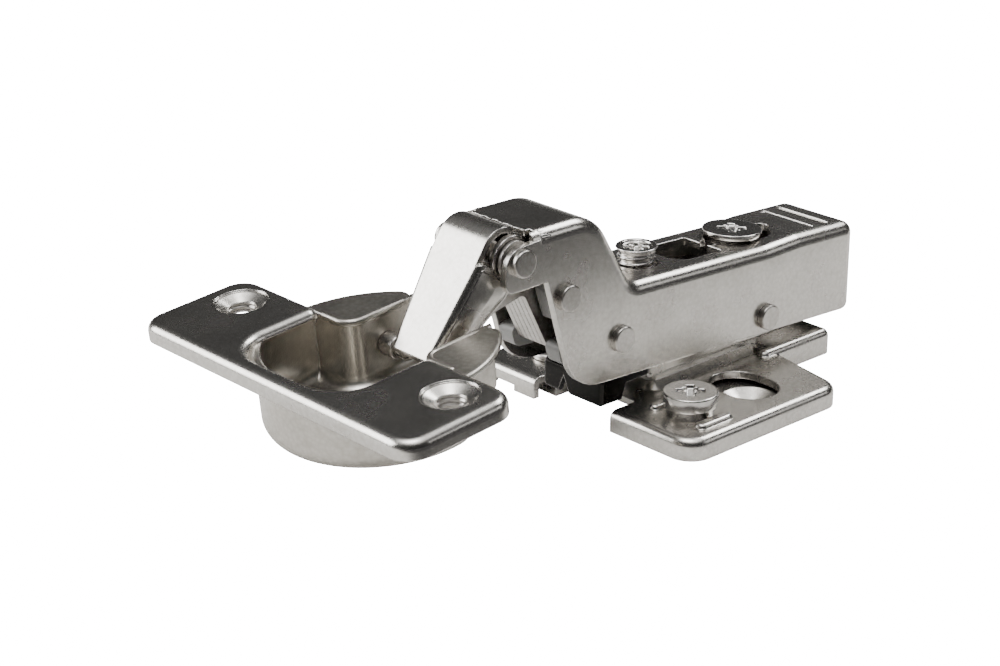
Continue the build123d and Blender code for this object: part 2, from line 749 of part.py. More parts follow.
def outer_link():
    """Bent channel: a tongue curls over the nose pin, a flat web runs down, and two ears end at the cup."""
    shoulder = nose_pin + link_along * link_shoulder
    flange_points = [
        (shoulder + link_out * web_offset, 0),
        (web_end, 0),
        (cup_pivot + link_along * link_eye_r - link_out * link_eye_r, 1.8),
        (cup_pivot - link_along * link_eye_r * 1.4 - link_out * link_eye_r, 1.5),
        (nose_pin + link_along * 5.6 - link_out * 2.6, 2.0),
        (shoulder - link_out * link_ear_r * 0.7, 0),
    ]
    slab = side_plate([(p.X, p.Z, r) for p, r in flange_points], 2 * link_top_half)
    slab &= link_wedge(0)
    long_edges = [
        e for e in slab.edges()
        if abs((e.center() - web_top).dot(link_out)) < 0.01 and e.length > link_length / 2
    ]
    slab = fillet(long_edges, link_edge_r)
    reach = 4 * web_offset
    envelope = [
        (shoulder + link_out * web_offset, link_shoulder_r),
        (shoulder + link_out * web_offset + link_along * reach, 0),
        (shoulder - link_out * reach + link_along * reach, 0),
        (shoulder - link_out * reach, 0),
    ]
    slab &= side_plate([(p.X, p.Z, r) for p, r in envelope], 3 * link_top_half)
    ears = cross_rod(nose_pin.X, nose_pin.Z, link_ear_r, 2 * link_top_half) & link_wedge(0)
    body = slab + ears - Pos(link_out * -link_sheet) * link_wedge(link_sheet)
    body += link_tongue()
    body -= cross_rod(nose_pin.X, nose_pin.Z, pin_r + running_gap, 4 * link_top_half)
    body -= cross_rod(cup_pivot.X, cup_pivot.Z, cup_pivot_r + running_gap, 4 * link_top_half)
    return body


def link_tongue():
    """Middle of the web, carried on past the flanges and curled over the nose pin."""
    centre = nose_pin + link_out * (web_offset - curl_r)
    end_turn = radians(curl_end)
    far = 3 * curl_r
    sector = [
        centre,
        centre + Vector(cos(end_turn), 0, sin(end_turn)) * far,
        centre + Vector(0, 0, 1) * far * 1.5,
        centre + link_out * far,
    ]
    curl = cross_rod(centre.X, centre.Z, curl_r, 2 * curl_half)
    curl -= cross_rod(centre.X, centre.Z, curl_r - link_sheet, 4 * curl_half)
    curl &= side_plate([(p.X, p.Z, 0) for p in sector], 4 * curl_half)
    low = web_top + link_along * (link_shoulder + 1)
    strip = [web_top, low, low - link_out * link_sheet, web_top - link_out * link_sheet]
    return curl + side_plate([(p.X, p.Z, 0) for p in strip], 2 * curl_half)


def inner_link_outline():
    """Bell crank: a hooked arm that drops into the cup, and a lever that hangs behind the nose."""
    lean = radians(lever_lean)
    down = Vector(sin(lean), 0, -cos(lean))
    front = Vector(-cos(lean), 0, -sin(lean))
    toe = lever_pin + down * lever_length + front * inner_hub_r
    heel = toe - front * lever_width
    knee = lever_pin + down * 1.0 - front * inner_hub_r
    reach = inner_pivot - lever_pin
    span = reach.length
    along = reach.normalized()
    up = Vector(-along.Z, 0, along.X) * -1
    if up.Z < 0:
        up = up * -1
    points = [
        (toe, 1.3),
        (heel, 0.8),
        (knee, 1.5),
        (lever_pin - front * inner_hub_r * 0.95 + up * inner_hub_r * 0.6, 1.5),
        (lever_pin + up * inner_hub_r * 1.15 - along * 1.0, 2.0),
        (lever_pin + along * span * 0.62 + up * 6.2, 4.5),
        (lever_pin + along * span * 0.9 + up * 3.7, 3.0),
        (inner_pivot + along * inner_eye_r + up * 0.6, 1.8),
        (inner_pivot + along * inner_eye_r * 0.8 - up * inner_eye_r, 1.6),
        (inner_pivot - along * inner_eye_r * 0.8 - up * inner_eye_r, 1.6),
        (lever_pin + along * span * 0.64 + up * 2.2, 2.5),
        (lever_pin + along * (inner_hub_r + 1.2) + up * 1.6, 1.2),
    ]
    return [(p.X, p.Z, r) for p, r in points]


def inner_link_plate(index):
    """One stamped plate of the laminated inner link."""
    middle = (index - (plate_count + 1) / 2) * inner_plate_sheet
    plate = side_plate(inner_link_outline(), inner_plate_sheet - inner_plate_gap, middle)
    plate -= cross_rod(lever_pin.X, lever_pin.Z, pin_r + running_gap, 4 * arm_width)
    plate -= cross_rod(inner_pivot.X, inner_pivot.Z, inner_rivet_r, 4 * arm_width)
    return plate


def inner_link_rivet():
    return cross_rod(inner_pivot.X, inner_pivot.Z, inner_rivet_r, plate_count * inner_plate_sheet + 0.3)


# ---------------------------------------------------------------- cup
def cup_plan(inset):
    """Plan of the cup's wall: round, with two straight cheeks towards the arm, drawn in by the inset."""
    disc = Pos(cup_back, 0) * Circle(cup_r - inset)
    cheek = slot_half + cup_sheet - inset
    start = cheek_start - inset
    for side in (-1, 1):
        block = Pos(start + 20, side * (cheek + 20)) * Rectangle(40, 40)
        disc -= block
    corner = [v for v in disc.vertices() if abs(abs(v.Y) - cheek) < 0.01 and abs(v.X - start) < 0.01]
    return fillet(corner, cheek_r + inset)


def cup():
    """Deep-drawn cup with its rim, slotted towards the arm for the two links."""
    face = -cover_drop
    bottom = face - cup_depth
    wall = Pos(0, 0, bottom) * extrude(cup_plan(0), amount=-cover_sheet - bottom)
    wall = fillet(wall.edges().group_by(Axis.Z)[0], cup_bottom_r)
    rim_plan = Pos(cup_back, 0) * Circle(cup_rim_r) - Pos(cup_back + 2 * slot_half, 0) * Rectangle(
        2 * cup_rim_r, 2 * slot_half
    )
    tips = [v for v in rim_plan.vertices() if v.X > cup_back + cup_rim_r / 2]
    rim = Pos(0, 0, face) * extrude(fillet(tips, cup_rim_tip_r), amount=cup_rim_sheet)
    rim = fillet(rim.edges().group_by(Axis.Z)[-1], cup_rim_sheet * 0.6)
    body = wall + rim
    step = rectangle_corners(cover_rear - cover_sheet - seam_gap, cup_back + 2 * cup_r, 2 * cup_r, 0)
    body -= plan_block(step, face + cup_rim_sheet, 5)
    inside = Pos(0, 0, bottom + cup_sheet) * extrude(cup_plan(cup_sheet), amount=cup_depth + 2)
    inside = fillet(inside.edges().group_by(Axis.Z)[0], cup_bottom_r - cup_sheet)
    body -= inside
    slot_corners = [
        (cheek_start, -slot_half, 0),
        (cup_back + cup_rim_r + 5, -slot_half, 0),
        (cup_back + cup_rim_r + 5, slot_half, 0),
        (cheek_start, slot_half, 0),
    ]
    body -= plan_block(slot_corners, -slot_floor, 5)
    for side in (-1, 1):
        body -= cross_rod(cup_pivot_back, -cup_pivot_down, cup_pivot_r, 4, side * (slot_half + 1))
    return cup_frame * body


def cup_cover():
    """Flat-topped cover with a folded skirt; it carries the two door screws and frames the cup's mouth."""
    corners = [
        (-cover_front, -cover_half_length, cover_corner_r),
        (cover_rear, -cover_half_length, cover_corner_r),
        (cover_rear, cover_half_length, cover_corner_r),
        (-cover_front, cover_half_length, cover_corner_r),
    ]
    mouth = [
        (-mouth_front, -mouth_half, mouth_corner_r),
        (2 * cover_rear, -mouth_half, 0),
        (2 * cover_rear, mouth_half, 0),
        (-mouth_front, mouth_half, mouth_corner_r),
    ]
    plan = outline(corners) - outline(mouth)
    ends = [v for v in plan.vertices() if abs(abs(v.Y) - mouth_half) < 0.01 and v.X > cover_rear - 0.1]
    plate = Pos(0, 0, -cover_drop) * extrude(fillet(ends, mouth_end_r), amount=cover_drop)
    plate = fillet(plate.edges().group_by(Axis.Z)[-1], cover_edge_r)
    inner_half = cover_half_length - cover_sheet
    inner_r = cover_corner_r - cover_sheet
    inner = [
        (-cover_front + cover_sheet, -inner_half, inner_r),
        (cover_rear - cover_sheet, -inner_half, inner_r),
        (cover_rear - cover_sheet, inner_half, inner_r),
        (-cover_front + cover_sheet, inner_half, inner_r),
    ]
    plate -= plan_block(inner, -cover_drop - 1, -cover_sheet)
    rim_top = -cover_drop + cup_rim_sheet + seam_gap
    plate -= round_post(cup_back, 0, -cover_drop - 1, rim_top, cup_rim_r + seam_gap)
    for side in (-1, 1):
        v = side * cup_screw_spacing / 2
        plate -= round_post(0, v, -cover_drop, 1, cup_screw_hole_r)
        plate -= round_post(0, v, -sink_step, 1, cup_screw_sink_r)
        sink = Cone(cup_screw_hole_r, cup_screw_sink_r - 0.4, cover_sheet * 0.7)
        plate -= Pos(0, v, -sink_step - cover_sheet * 0.35) * sink
    return cup_frame * plate


def cup_rivet(side):
    """Shouldered rivet that pins one ear of the outer link to one cheek of the cup."""
    inner_face = link_end_half - link_sheet
    outer_face = slot_half + cup_sheet
    middle = side * (inner_face + outer_face) / 2
    rivet = cross_rod(cup_pivot_back, -cup_pivot_down, cup_pivot_r, outer_face - inner_face, middle)
    head = cross_rod(cup_pivot_back, -cup_pivot_down, cup_pivot_r * 1.6, 0.6, side * (outer_face + 0.3))
    return cup_frame * (rivet + head)


def cup_bush(side):
    """Plastic spacer between the link's ear and the cup's cheek."""
    near = link_end_half + bush_gap
    far = slot_half - running_gap
    middle = side * (near + far) / 2
    ring = cross_rod(cup_pivot_back, -cup_pivot_down, bush_r, far - near, middle)
    ring -= cross_rod(cup_pivot_back, -cup_pivot_down, cup_pivot_r, far, middle)
    return cup_frame * ring


# ---------------------------------------------------------------- damper cartridge
def cartridge_frame():
    """Moulded frame in the arm that holds the damper and guides the lever between its prongs."""
    half = arm_inner_half - frame_gap
    side = [
        (-frame_rear, frame_step_up, 0.8),
        (-frame_step + 2.6, frame_step_up, 1.0),
        (-frame_step, frame_low, 1.0),
        (-frame_front, frame_low, 1.5),
        (-frame_front - 1.2, frame_low + 3.4, 1.0),
        (-frame_front + 5.0, frame_low + 4.2, 1.5),
        (-frame_front + 5.0, frame_low + 8.0, 1.5),
        (-frame_front - 1.6, frame_low + 7.4, 1.0),
        (-frame_front - 3.6, frame_high - 3.0, 1.5),
        (-frame_front - 2.0, frame_high, 1.5),
        (-frame_rear, frame_high, 0),
    ]
    body = side_plate(side, 2 * half)
    room = [(-web_front - 10, hump_top, 0)] + arm_top_path(arm_sheet + frame_gap)
    room += [(arm_rear, -arm_bottom, 0), (-web_front - 10, -arm_bottom, 0)]
    body &= side_plate(room, 2 * half)
    rear_wall = barrel_front - barrel_length + 1.0
    gap = [
        (-rear_wall, frame_low - 5, 0),
        (-web_front, frame_low - 5, 0),
        (-web_front, frame_high + 5, 0),
        (-rear_wall, frame_high + 5, 0),
    ]
    body -= side_plate(gap, 2 * frame_inner_half)
    body -= Pos(-frame_rear, 0, barrel_up) * Rot(0, 90, 0) * Cylinder(barrel_r, 30)
    body -= cross_rod(-lever_pin_ahead, lever_pin_up, pin_r, 4 * arm_width)
    body -= cross_rod(-frame_pin_ahead, frame_pin_up, pin_r, 4 * arm_width)
    return arm_frame * body


def damper_barrel():
    """Closed cylinder of the fluid damper."""
    middle = -barrel_front + barrel_length / 2
    body = Pos(middle, 0, barrel_up) * Rot(0, 90, 0) * Cylinder(barrel_r, barrel_length)
    bore = Pos(middle - 0.3, 0, barrel_up) * Rot(0, 90, 0) * Cylinder(rod_r + running_gap, barrel_length)
    return arm_frame * (body - bore)


def damper_rod():
    """Rod and button that the lever pushes into the barrel."""
    front = -barrel_front - rod_reach
    rod = Pos(front + rod_length / 2, 0, barrel_up) * Rot(0, 90, 0) * Cylinder(rod_r, rod_length)
    button = Rot(0, 90, 0) * Cylinder(rod_head_r, rod_head_length)
    return arm_frame * (rod + Pos(front + rod_head_length / 2, 0, barrel_up) * button)


# ---------------------------------------------------------------- all pieces
nodes = {
    "plate_base": plate_base(),
    "plate_carriage": plate_carriage(),
    "height_cam_screw": height_cam_screw(),
    "guide_rivet": guide_rivet(),
    "adapter": adapter(),
    "clip_lever": clip_lever(),
    "clip_lever_pin": clip_lever_pin(),
    "clip_spring": clip_spring(),
    "arm": arm(),
    "nose_pin": nose_pin_rivet(),
    "nose_washer_left": nose_washer(1),
    "nose_washer_right": nose_washer(-1),
    "lever_pin": lever_pin_rivet(),
    "frame_pin": frame_pin_rivet(),
    "tilt_pin": tilt_pin(),
    "overlay_screw": overlay_screw(),
    "depth_cam_screw": depth_cam_screw(),
    "outer_link": outer_link(),
    "inner_link_rivet": inner_link_rivet(),
    "cup": cup(),
    "cup_cover": cup_cover(),
    "cup_rivet_left": cup_rivet(1),
    "cup_rivet_right": cup_rivet(-1),
    "cup_bush_left": cup_bush(1),
    "cup_bush_right": cup_bush(-1),
    "cartridge_frame": cartridge_frame(),
    "damper_barrel": damper_barrel(),
    "damper_rod": damper_rod(),
}
for number in range(1, plate_count + 1):
    nodes[f"inner_link_plate_{number}"] = inner_link_plate(number)

os.makedirs("parts", exist_ok=True)
for name, solid in nodes.items():
    export_step(solid, f"parts/{name}.step")
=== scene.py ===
"""Studio scene for a concealed cup hinge: its finishes, fine machined detail, floor, lights and camera.

Every size is in metres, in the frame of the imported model: X runs into the cabinet, Y along the hinge line,
and Z away from the cabinet side.
"""

import json
import logging
from dataclasses import dataclass, field, replace
from enum import Enum
from math import cos, pi, radians, sin

import bpy
import numpy as np
from mathutils import Matrix, Vector

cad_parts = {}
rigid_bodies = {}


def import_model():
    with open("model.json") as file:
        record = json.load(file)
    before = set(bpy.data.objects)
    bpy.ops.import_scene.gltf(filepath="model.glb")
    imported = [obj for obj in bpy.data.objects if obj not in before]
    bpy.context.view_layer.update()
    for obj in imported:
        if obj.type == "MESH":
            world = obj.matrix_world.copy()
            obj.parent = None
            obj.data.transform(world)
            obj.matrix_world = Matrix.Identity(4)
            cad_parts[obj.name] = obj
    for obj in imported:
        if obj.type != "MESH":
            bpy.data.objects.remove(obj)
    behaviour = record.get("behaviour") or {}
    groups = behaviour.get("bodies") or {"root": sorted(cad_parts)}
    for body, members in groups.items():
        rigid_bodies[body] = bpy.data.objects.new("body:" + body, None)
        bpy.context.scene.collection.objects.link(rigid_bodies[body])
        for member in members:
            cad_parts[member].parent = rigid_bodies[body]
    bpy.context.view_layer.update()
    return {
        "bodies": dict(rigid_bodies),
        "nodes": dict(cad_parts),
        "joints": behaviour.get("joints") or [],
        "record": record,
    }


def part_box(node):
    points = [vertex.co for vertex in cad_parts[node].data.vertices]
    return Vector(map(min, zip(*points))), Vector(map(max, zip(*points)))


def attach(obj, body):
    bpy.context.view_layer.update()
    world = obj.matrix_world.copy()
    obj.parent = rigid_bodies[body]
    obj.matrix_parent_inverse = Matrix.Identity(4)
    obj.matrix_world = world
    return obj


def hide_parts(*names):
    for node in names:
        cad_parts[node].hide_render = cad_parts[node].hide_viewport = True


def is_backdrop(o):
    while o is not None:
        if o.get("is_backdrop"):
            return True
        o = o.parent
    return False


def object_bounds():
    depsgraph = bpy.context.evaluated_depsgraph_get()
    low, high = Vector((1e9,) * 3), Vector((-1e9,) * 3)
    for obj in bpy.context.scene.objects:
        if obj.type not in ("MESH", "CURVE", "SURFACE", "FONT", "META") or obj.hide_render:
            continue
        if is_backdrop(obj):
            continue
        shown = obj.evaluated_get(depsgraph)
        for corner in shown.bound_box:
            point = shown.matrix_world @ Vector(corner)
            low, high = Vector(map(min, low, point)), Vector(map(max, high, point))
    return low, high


log = logging.getLogger("cup_hinge")

Socket = bpy.types.NodeSocket
Color = tuple[float, float, float]
Point = tuple[float, float, float]

MM = 0.001
SIDES = ((-1, "right"), (1, "left"))
WHITE = (1.0, 1.0, 1.0, 1.0)


# ---------------------------------------------------------------- places in the frame


@dataclass(frozen=True)
class Seat:
    """A place in the frame that is turned about Y, in which a sub-assembly is drawn.

    Attributes:
        x: its origin along X.
        z: its origin along Z.
        tilt: its turn about +Y, in degrees.
    """

    x: float
    z: float
    tilt: float

    def put(self, points: np.ndarray) -> np.ndarray:
        """Carry points from the seat into the frame: x' = x cos t + z sin t, z' = z cos t - x sin t.

        Args:
            points: rows of x, y, z in the seat.

        Returns:
            The same rows in the frame.
        """
        turn = radians(self.tilt)
        x = self.x + points[:, 0] * cos(turn) + points[:, 2] * sin(turn)
        z = self.z - points[:, 0] * sin(turn) + points[:, 2] * cos(turn)
        return np.column_stack((x, points[:, 1], z))


ROW_SEAT = Seat(0.0, 0.0, 0.0)
ARM_SEAT = Seat(12.1 * MM, 10.65 * MM, 2.8)
CUP_SEAT = Seat(-70.9165 * MM, 25.811 * MM, -5.75)


# ---------------------------------------------------------------- shared surface effects


class NodeGraph:
    """A thin helper that adds and joins shader nodes in one tree."""

    def __init__(self, tree: bpy.types.NodeTree) -> None:
        """Keep the tree that the nodes go into."""
        self.tree = tree

    def feed(self, target: Socket, value: object) -> None:
        """Join a socket to an input, or set the input to a plain value.

        Args:
            target: the input.
            value: the socket or the value.
        """
        if isinstance(value, Socket):
            self.tree.links.new(value, target)
        else:
            target.default_value = value

    def add(self, kind: str, inputs: dict[str, object] | None = None, **settings: object) -> bpy.types.Node:
        """Add one node.

        Args:
            kind: the node's type name.
            inputs: a socket or a plain value for each named input that isn't left alone.
            settings: values for the node's own properties.

        Returns:
            The new node.
        """
        node = self.tree.nodes.new(kind)
        for name, value in settings.items():
            setattr(node, name, value)
        for name, value in (inputs or {}).items():
            self.feed(node.inputs[name], value)
        return node

    def maths(self, operation: str, first: object, second: object = None, clamp: bool = False) -> Socket:
        """Add a Math node.

        Args:
            operation: the Math node's operation.
            first: a socket or a number.
            second: a socket, a number or None.
            clamp: whether the result is held between 0 and 1.

        Returns:
            The node's output.
        """
        node = self.add("ShaderNodeMath", operation=operation, use_clamp=clamp)
        self.feed(node.inputs[0], first)
        if second is not None:
            self.feed(node.inputs[1], second)
        return node.outputs[0]

    def blend(self, first: object, second: Color, share: Socket, way: str = "MIX") -> Socket:
        """Blend a second colour into a first one.

        Args:
            first: a colour, or the socket that gives it.
            second: the colour that is blended in.
            share: how much of the second there is, from 0 to 1.
            way: the Mix node's blend type.

        Returns:
            The blended colour.
        """
        start = first if isinstance(first, Socket) else (*first, 1.0)
        inputs = {"A": start, "B": (*second, 1.0), "Factor": share}
        return self.add("ShaderNodeMix", inputs, data_type="RGBA", blend_type=way).outputs["Result"]

    def group(self, tree: bpy.types.NodeTree, **inputs: float) -> bpy.types.bpy_prop_collection:
        """Place a shared effect.

        Args:
            tree: the effect's node group.
            inputs: its own value for each named input that isn't left alone.

        Returns:
            What the effect gives, by name.
        """
        return self.add("ShaderNodeGroup", inputs, node_tree=tree).outputs

    def spot(self) -> Socket:
        """Give the Object coordinates of the shaded point."""
        return self.add("ShaderNodeTexCoord").outputs["Object"]

    def axes(self) -> bpy.types.bpy_prop_collection:
        """Give the same as X, Y and Z."""
        return self.add("ShaderNodeSeparateXYZ", {"Vector": self.spot()}).outputs

    def noise(self, scale: Socket, detail: float, roughness: float) -> Socket:
        """Add noise on Object coordinates.

        Args:
            scale: its size, in turns per metre.
            detail: how many finer layers it has.
            roughness: how strong those layers are.

        Returns:
            The noise, about 0.5.
        """
        inputs = {"Vector": self.spot(), "Scale": scale, "Detail": detail, "Roughness": roughness}
        return self.add("ShaderNodeTexNoise", inputs).outputs[0]

    def bump(self, height: Socket, distance: float, strength: float, normal: Socket | None = None) -> Socket:
        """Add a Bump node.

        Args:
            height: the height over the surface.
            distance: how deep the full height is.
            strength: how much of it shows.
            normal: the normal that it starts from, or None for the mesh's own.

        Returns:
            The bumped normal.
        """
        node = self.add("ShaderNodeBump", {"Height": height, "Distance": distance, "Strength": strength})
        if normal is not None:
            self.feed(node.inputs["Normal"], normal)
        return node.outputs["Normal"]


class EffectGroups:
    """Node groups that several finishes share, each built once."""

    def __init__(self) -> None:
        """Build every group."""
        self.grain = self._grain()
        self.stains = self._stains()
        self.edge = self._edge()
        self.cup_painted_shade = self._cup_painted_shade()
        self.fold_painted_shade = self._fold_painted_shade()

    def _begin(self, name: str, inputs: dict[str, float]) -> tuple[NodeGraph, bpy.types.bpy_prop_collection]:
        """Start a group with named number inputs.

        Args:
            name: the group's name.
            inputs: each input and its first value.

        Returns:
            The group's graph, and its inputs by name.
        """
        tree = bpy.data.node_groups.new(name, "ShaderNodeTree")
        for label, value in inputs.items():
            socket = tree.interface.new_socket(name=label, in_out="INPUT", socket_type="NodeSocketFloat")
            socket.default_value = value
        graph = NodeGraph(tree)
        return graph, graph.add("NodeGroupInput").outputs

    def _end(self, graph: NodeGraph, outputs: dict[str, Socket]) -> bpy.types.NodeTree:
        """Finish a group with named number outputs.

        Args:
            graph: the group's graph.
            outputs: each output and what feeds it.

        Returns:
            The group.
        """
        for label in outputs:
            graph.tree.interface.new_socket(name=label, in_out="OUTPUT", socket_type="NodeSocketFloat")
        graph.add("NodeGroupOutput", outputs)
        return graph.tree

    def _grain(self) -> bpy.types.NodeTree:
        """Fine rolled-and-tumbled grain of plated sheet: two sizes of noise added together, and flecks.

        Returns:
            The group, whose Height feeds a Bump node and whose Fleck shades the colour.
        """
        inputs = {"Scale": 6000.0, "Coarse scale": 0.22, "Coarse share": 0.35, "Fleck scale": 0.4}
        graph, given = self._begin("tumbled_grain", inputs)
        fine = graph.noise(given["Scale"], 3.0, 0.6)
        coarse = graph.noise(graph.maths("MULTIPLY", given["Scale"], given["Coarse scale"]), 2.0, 0.5)
        share = graph.maths("MULTIPLY", coarse, given["Coarse share"])
        fleck_scale = graph.maths("MULTIPLY", given["Scale"], given["Fleck scale"])
        fleck = graph.add("ShaderNodeTexVoronoi", {"Vector": graph.spot(), "Scale": fleck_scale})
        height = graph.maths("ADD", fine, share)
        return self._end(graph, {"Height": height, "Fleck": fleck.outputs["Distance"]})

    def _stains(self) -> bpy.types.NodeTree:
        """Soft clouds of handling and uneven plating, from 0 to 1.

        Returns:
            The group, whose Amount varies a colour or a roughness.
        """
        graph, given = self._begin("plating_clouds", {"Scale": 120.0, "Contrast": 1.0})
        centred = graph.maths("SUBTRACT", graph.noise(given["Scale"], 4.0, 0.55), 0.5)
        scaled = graph.maths("MULTIPLY", centred, given["Contrast"])
        return self._end(graph, {"Amount": graph.maths("ADD", scaled, 0.5, clamp=True)})

    def _edge(self) -> bpy.types.NodeTree:
        """Mask of the sheet's edges: how far the rounded normal leans from the flat one.

        Returns:
            The group, whose Mask is 1 on a worn edge.
        """
        graph, given = self._begin("edge_wear", {"Radius": 0.0002, "Strength": 6.0})
        rounded = graph.add("ShaderNodeBevel", {"Radius": given["Radius"]}, samples=6)
        flat = graph.add("ShaderNodeNewGeometry")
        dot = graph.add("ShaderNodeVectorMath", operation="DOT_PRODUCT")
        graph.feed(dot.inputs[0], rounded.outputs["Normal"])
        graph.feed(dot.inputs[1], flat.outputs["Normal"])
        lean = graph.maths("SUBTRACT", 1.0, dot.outputs["Value"])
        return self._end(graph, {"Mask": graph.maths("MULTIPLY", lean, given["Strength"], clamp=True)})

    def _cup_painted_shade(self) -> bpy.types.NodeTree:
        """Mask of the drawn cup's inside, where shade is painted: below the rim, within the radius, and
        between the cheeks.

        The point is turned back into the cup's seat: along = x cos t - z sin t, height = z cos t + x sin t.

        Returns:
            The group, whose Mask is 1 inside the cup.
        """
        inputs = {"Middle": 0.006, "Radius": 0.01695, "Cheek start": 0.0035, "Cheek": 0.0086, "Rim": -0.0031}
        graph, given = self._begin("cup_painted_shade", inputs)
        spot = graph.axes()
        turn = radians(CUP_SEAT.tilt)
        x = graph.maths("SUBTRACT", spot["X"], CUP_SEAT.x)
        z = graph.maths("SUBTRACT", spot["Z"], CUP_SEAT.z)
        x_cos, z_cos = (graph.maths("MULTIPLY", way, cos(turn)) for way in (x, z))
        x_sin, z_sin = (graph.maths("MULTIPLY", way, sin(turn)) for way in (x, z))
        back = graph.maths("SUBTRACT", graph.maths("SUBTRACT", x_cos, z_sin), given["Middle"])
        height = graph.maths("ADD", z_cos, x_sin)
        wide = graph.maths("ABSOLUTE", spot["Y"])
        square = graph.maths("ADD", graph.maths("MULTIPLY", back, back), graph.maths("MULTIPLY", wide, wide))
        near = graph.maths("LESS_THAN", graph.maths("SQRT", square), given["Radius"])
        rear = graph.maths("GREATER_THAN", back, given["Cheek start"])
        outside = graph.maths("MULTIPLY", rear, graph.maths("GREATER_THAN", wide, given["Cheek"]))
        inside = graph.maths("MULTIPLY", near, graph.maths("SUBTRACT", 1.0, outside))
        below = graph.maths("LESS_THAN", height, given["Rim"])
        return self._end(graph, {"Mask": graph.maths("MULTIPLY", inside, below)})

    def _fold_painted_shade(self) -> bpy.types.NodeTree:
        """Mask of the adapter's folded front, where dark shade is painted: low and ahead of a line.

        Returns:
            The group, whose Mask is 1 in the fold.
        """
        graph, given = self._begin("fold_painted_shade", {"Rear": -0.0135, "Top": 0.0105, "Steepness": 900.0})
        spot = graph.axes()
        rear = graph.maths("SUBTRACT", given["Rear"], spot["X"])
        top = graph.maths("SUBTRACT", given["Top"], spot["Z"])
        ahead, low = (graph.maths("MULTIPLY", gap, given["Steepness"], clamp=True) for gap in (rear, top))
        return self._end(graph, {"Mask": graph.maths("MULTIPLY", ahead, low)})


# ---------------------------------------------------------------- finishes


class PaintedShadeRegion(Enum):
    """Which part of a piece gets painted shade."""

    NONE = "none"
    CUP = "inside of the cup"
    FOLD = "front fold of the adapter"


class Grain(Enum):
    """The grain that a way of making leaves: its size, in turns per metre, and its depth."""

    ROLLED = (3600.0, 0.0000045)
    DRAWN = (3400.0, 0.0000045)
    PUNCHED = (4200.0, 0.0000055)
    TURNED = (6000.0, 0.000004)
    HEADED = (4200.0, 0.000012)
    WIRE = (8000.0, 0.000002)
    MOULDED = (4000.0, 0.00001)


@dataclass(frozen=True)
class Wear:
    """How tumbling and handling show on plated steel.

    Attributes:
        cloud_scale: size of the clouds, in turns per metre.
        cloud_contrast: how strongly they stand out.
        rubbed: the colour of a rubbed edge.
        rubbed_share: how much of that colour shows.
        polish: how much smoother a rubbed edge is.
        fleck: the shade of the flecks.
        fleck_share: how much of that shade shows.
        bump: the strength of the grain.
        edge_spared: how much of the painted shade an edge is spared, so that it stays bright in a shaded
            hollow.
    """

    cloud_scale: float = 140.0
    cloud_contrast: float = 1.6
    rubbed: Color = (0.86, 0.85, 0.83)
    rubbed_share: float = 0.6
    polish: float = 0.08
    fleck: Color = (0.80, 0.79, 0.77)
    fleck_share: float = 0.95
    bump: float = 0.6
    edge_spared: float = 0.9


def new_material(name: str) -> tuple[bpy.types.Material, NodeGraph, bpy.types.Node]:
    """Start a material.

    Args:
        name: the material's name.

    Returns:
        The material, its graph and its Principled BSDF.
    """
    material = bpy.data.materials.new(name)
    material.use_nodes = True
    return material, NodeGraph(material.node_tree), material.node_tree.nodes["Principled BSDF"]


@dataclass(frozen=True)
class PlatedFinish:
    """Nickel plating over steel.

    Attributes:
        name: the material's name.
        grain: the grain that the steel has.
        color: the plating's base colour.
        dull: the same, where the plating is clouded.
        roughness: the mean roughness.
        spread: how far the clouds move the roughness.
        edge_radius: radius that an edge seems to have.
        hollow: where shade is painted on it.
        painted_shade_color: the colour of that painted shade.
        wear: how tumbling and handling show.
    """

    name: str
    grain: Grain
    color: Color
    dull: Color
    roughness: float
    spread: float
    edge_radius: float
    hollow: PaintedShadeRegion = PaintedShadeRegion.NONE
    painted_shade_color: Color = (0.2, 0.19, 0.17)
    wear: Wear = Wear()

    def build(self, groups: EffectGroups) -> bpy.types.Material:
        """Make the material.

        Args:
            groups: the shared effects.

        Returns:
            The finished material.
        """
        material, graph, shader = new_material(self.name)
        wear, (grain_scale, grain_depth) = self.wear, self.grain.value
        shader.inputs["Metallic"].default_value = 1.0
        clouds = graph.group(groups.stains, Scale=wear.cloud_scale, Contrast=wear.cloud_contrast)["Amount"]
        rim = graph.group(groups.edge, Radius=self.edge_radius)["Mask"]
        grain = graph.group(groups.grain, Scale=grain_scale)
        tint = graph.blend(self.color, self.dull, clouds)
        bright = graph.blend(tint, wear.rubbed, graph.maths("MULTIPLY", rim, wear.rubbed_share))
        flecks = graph.maths("MULTIPLY", grain["Fleck"], wear.fleck_share, clamp=True)
        flecked = graph.blend(bright, wear.fleck, flecks, "MULTIPLY")
        graph.feed(shader.inputs["Base Color"], self._with_painted_shade(graph, groups, flecked, rim))
        moved = graph.maths("MULTIPLY", graph.maths("SUBTRACT", clouds, 0.5), self.spread)
        rough = graph.maths("ADD", moved, self.roughness)
        polished = graph.maths("MULTIPLY", rim, -wear.polish)
        graph.feed(shader.inputs["Roughness"], graph.maths("ADD", rough, polished, clamp=True))
        rounded = graph.add("ShaderNodeBevel", {"Radius": self.edge_radius}, samples=6).outputs["Normal"]
        graph.feed(shader.inputs["Normal"], graph.bump(grain["Height"], grain_depth, wear.bump, rounded))
        return material

    def _with_painted_shade(self, graph: NodeGraph, groups: EffectGroups, plated: Socket, rim: Socket) -> Socket:
        """Paint shade into the plating's colour within the finish's hollow, except on the edges.

        Args:
            graph: the material's graph.
            groups: the shared effects.
            plated: the colour without painted shade.
            rim: the mask of the sheet's edges.

        Returns:
            The blended colour.
        """
        if self.hollow is PaintedShadeRegion.NONE:
            return plated
        tree = groups.cup_painted_shade if self.hollow is PaintedShadeRegion.CUP else groups.fold_painted_shade
        flat = graph.maths("SUBTRACT", 1.0, graph.maths("MULTIPLY", rim, self.wear.edge_spared))
        return graph.blend(plated, self.painted_shade_color, graph.maths("MULTIPLY", graph.group(tree)["Mask"], flat))


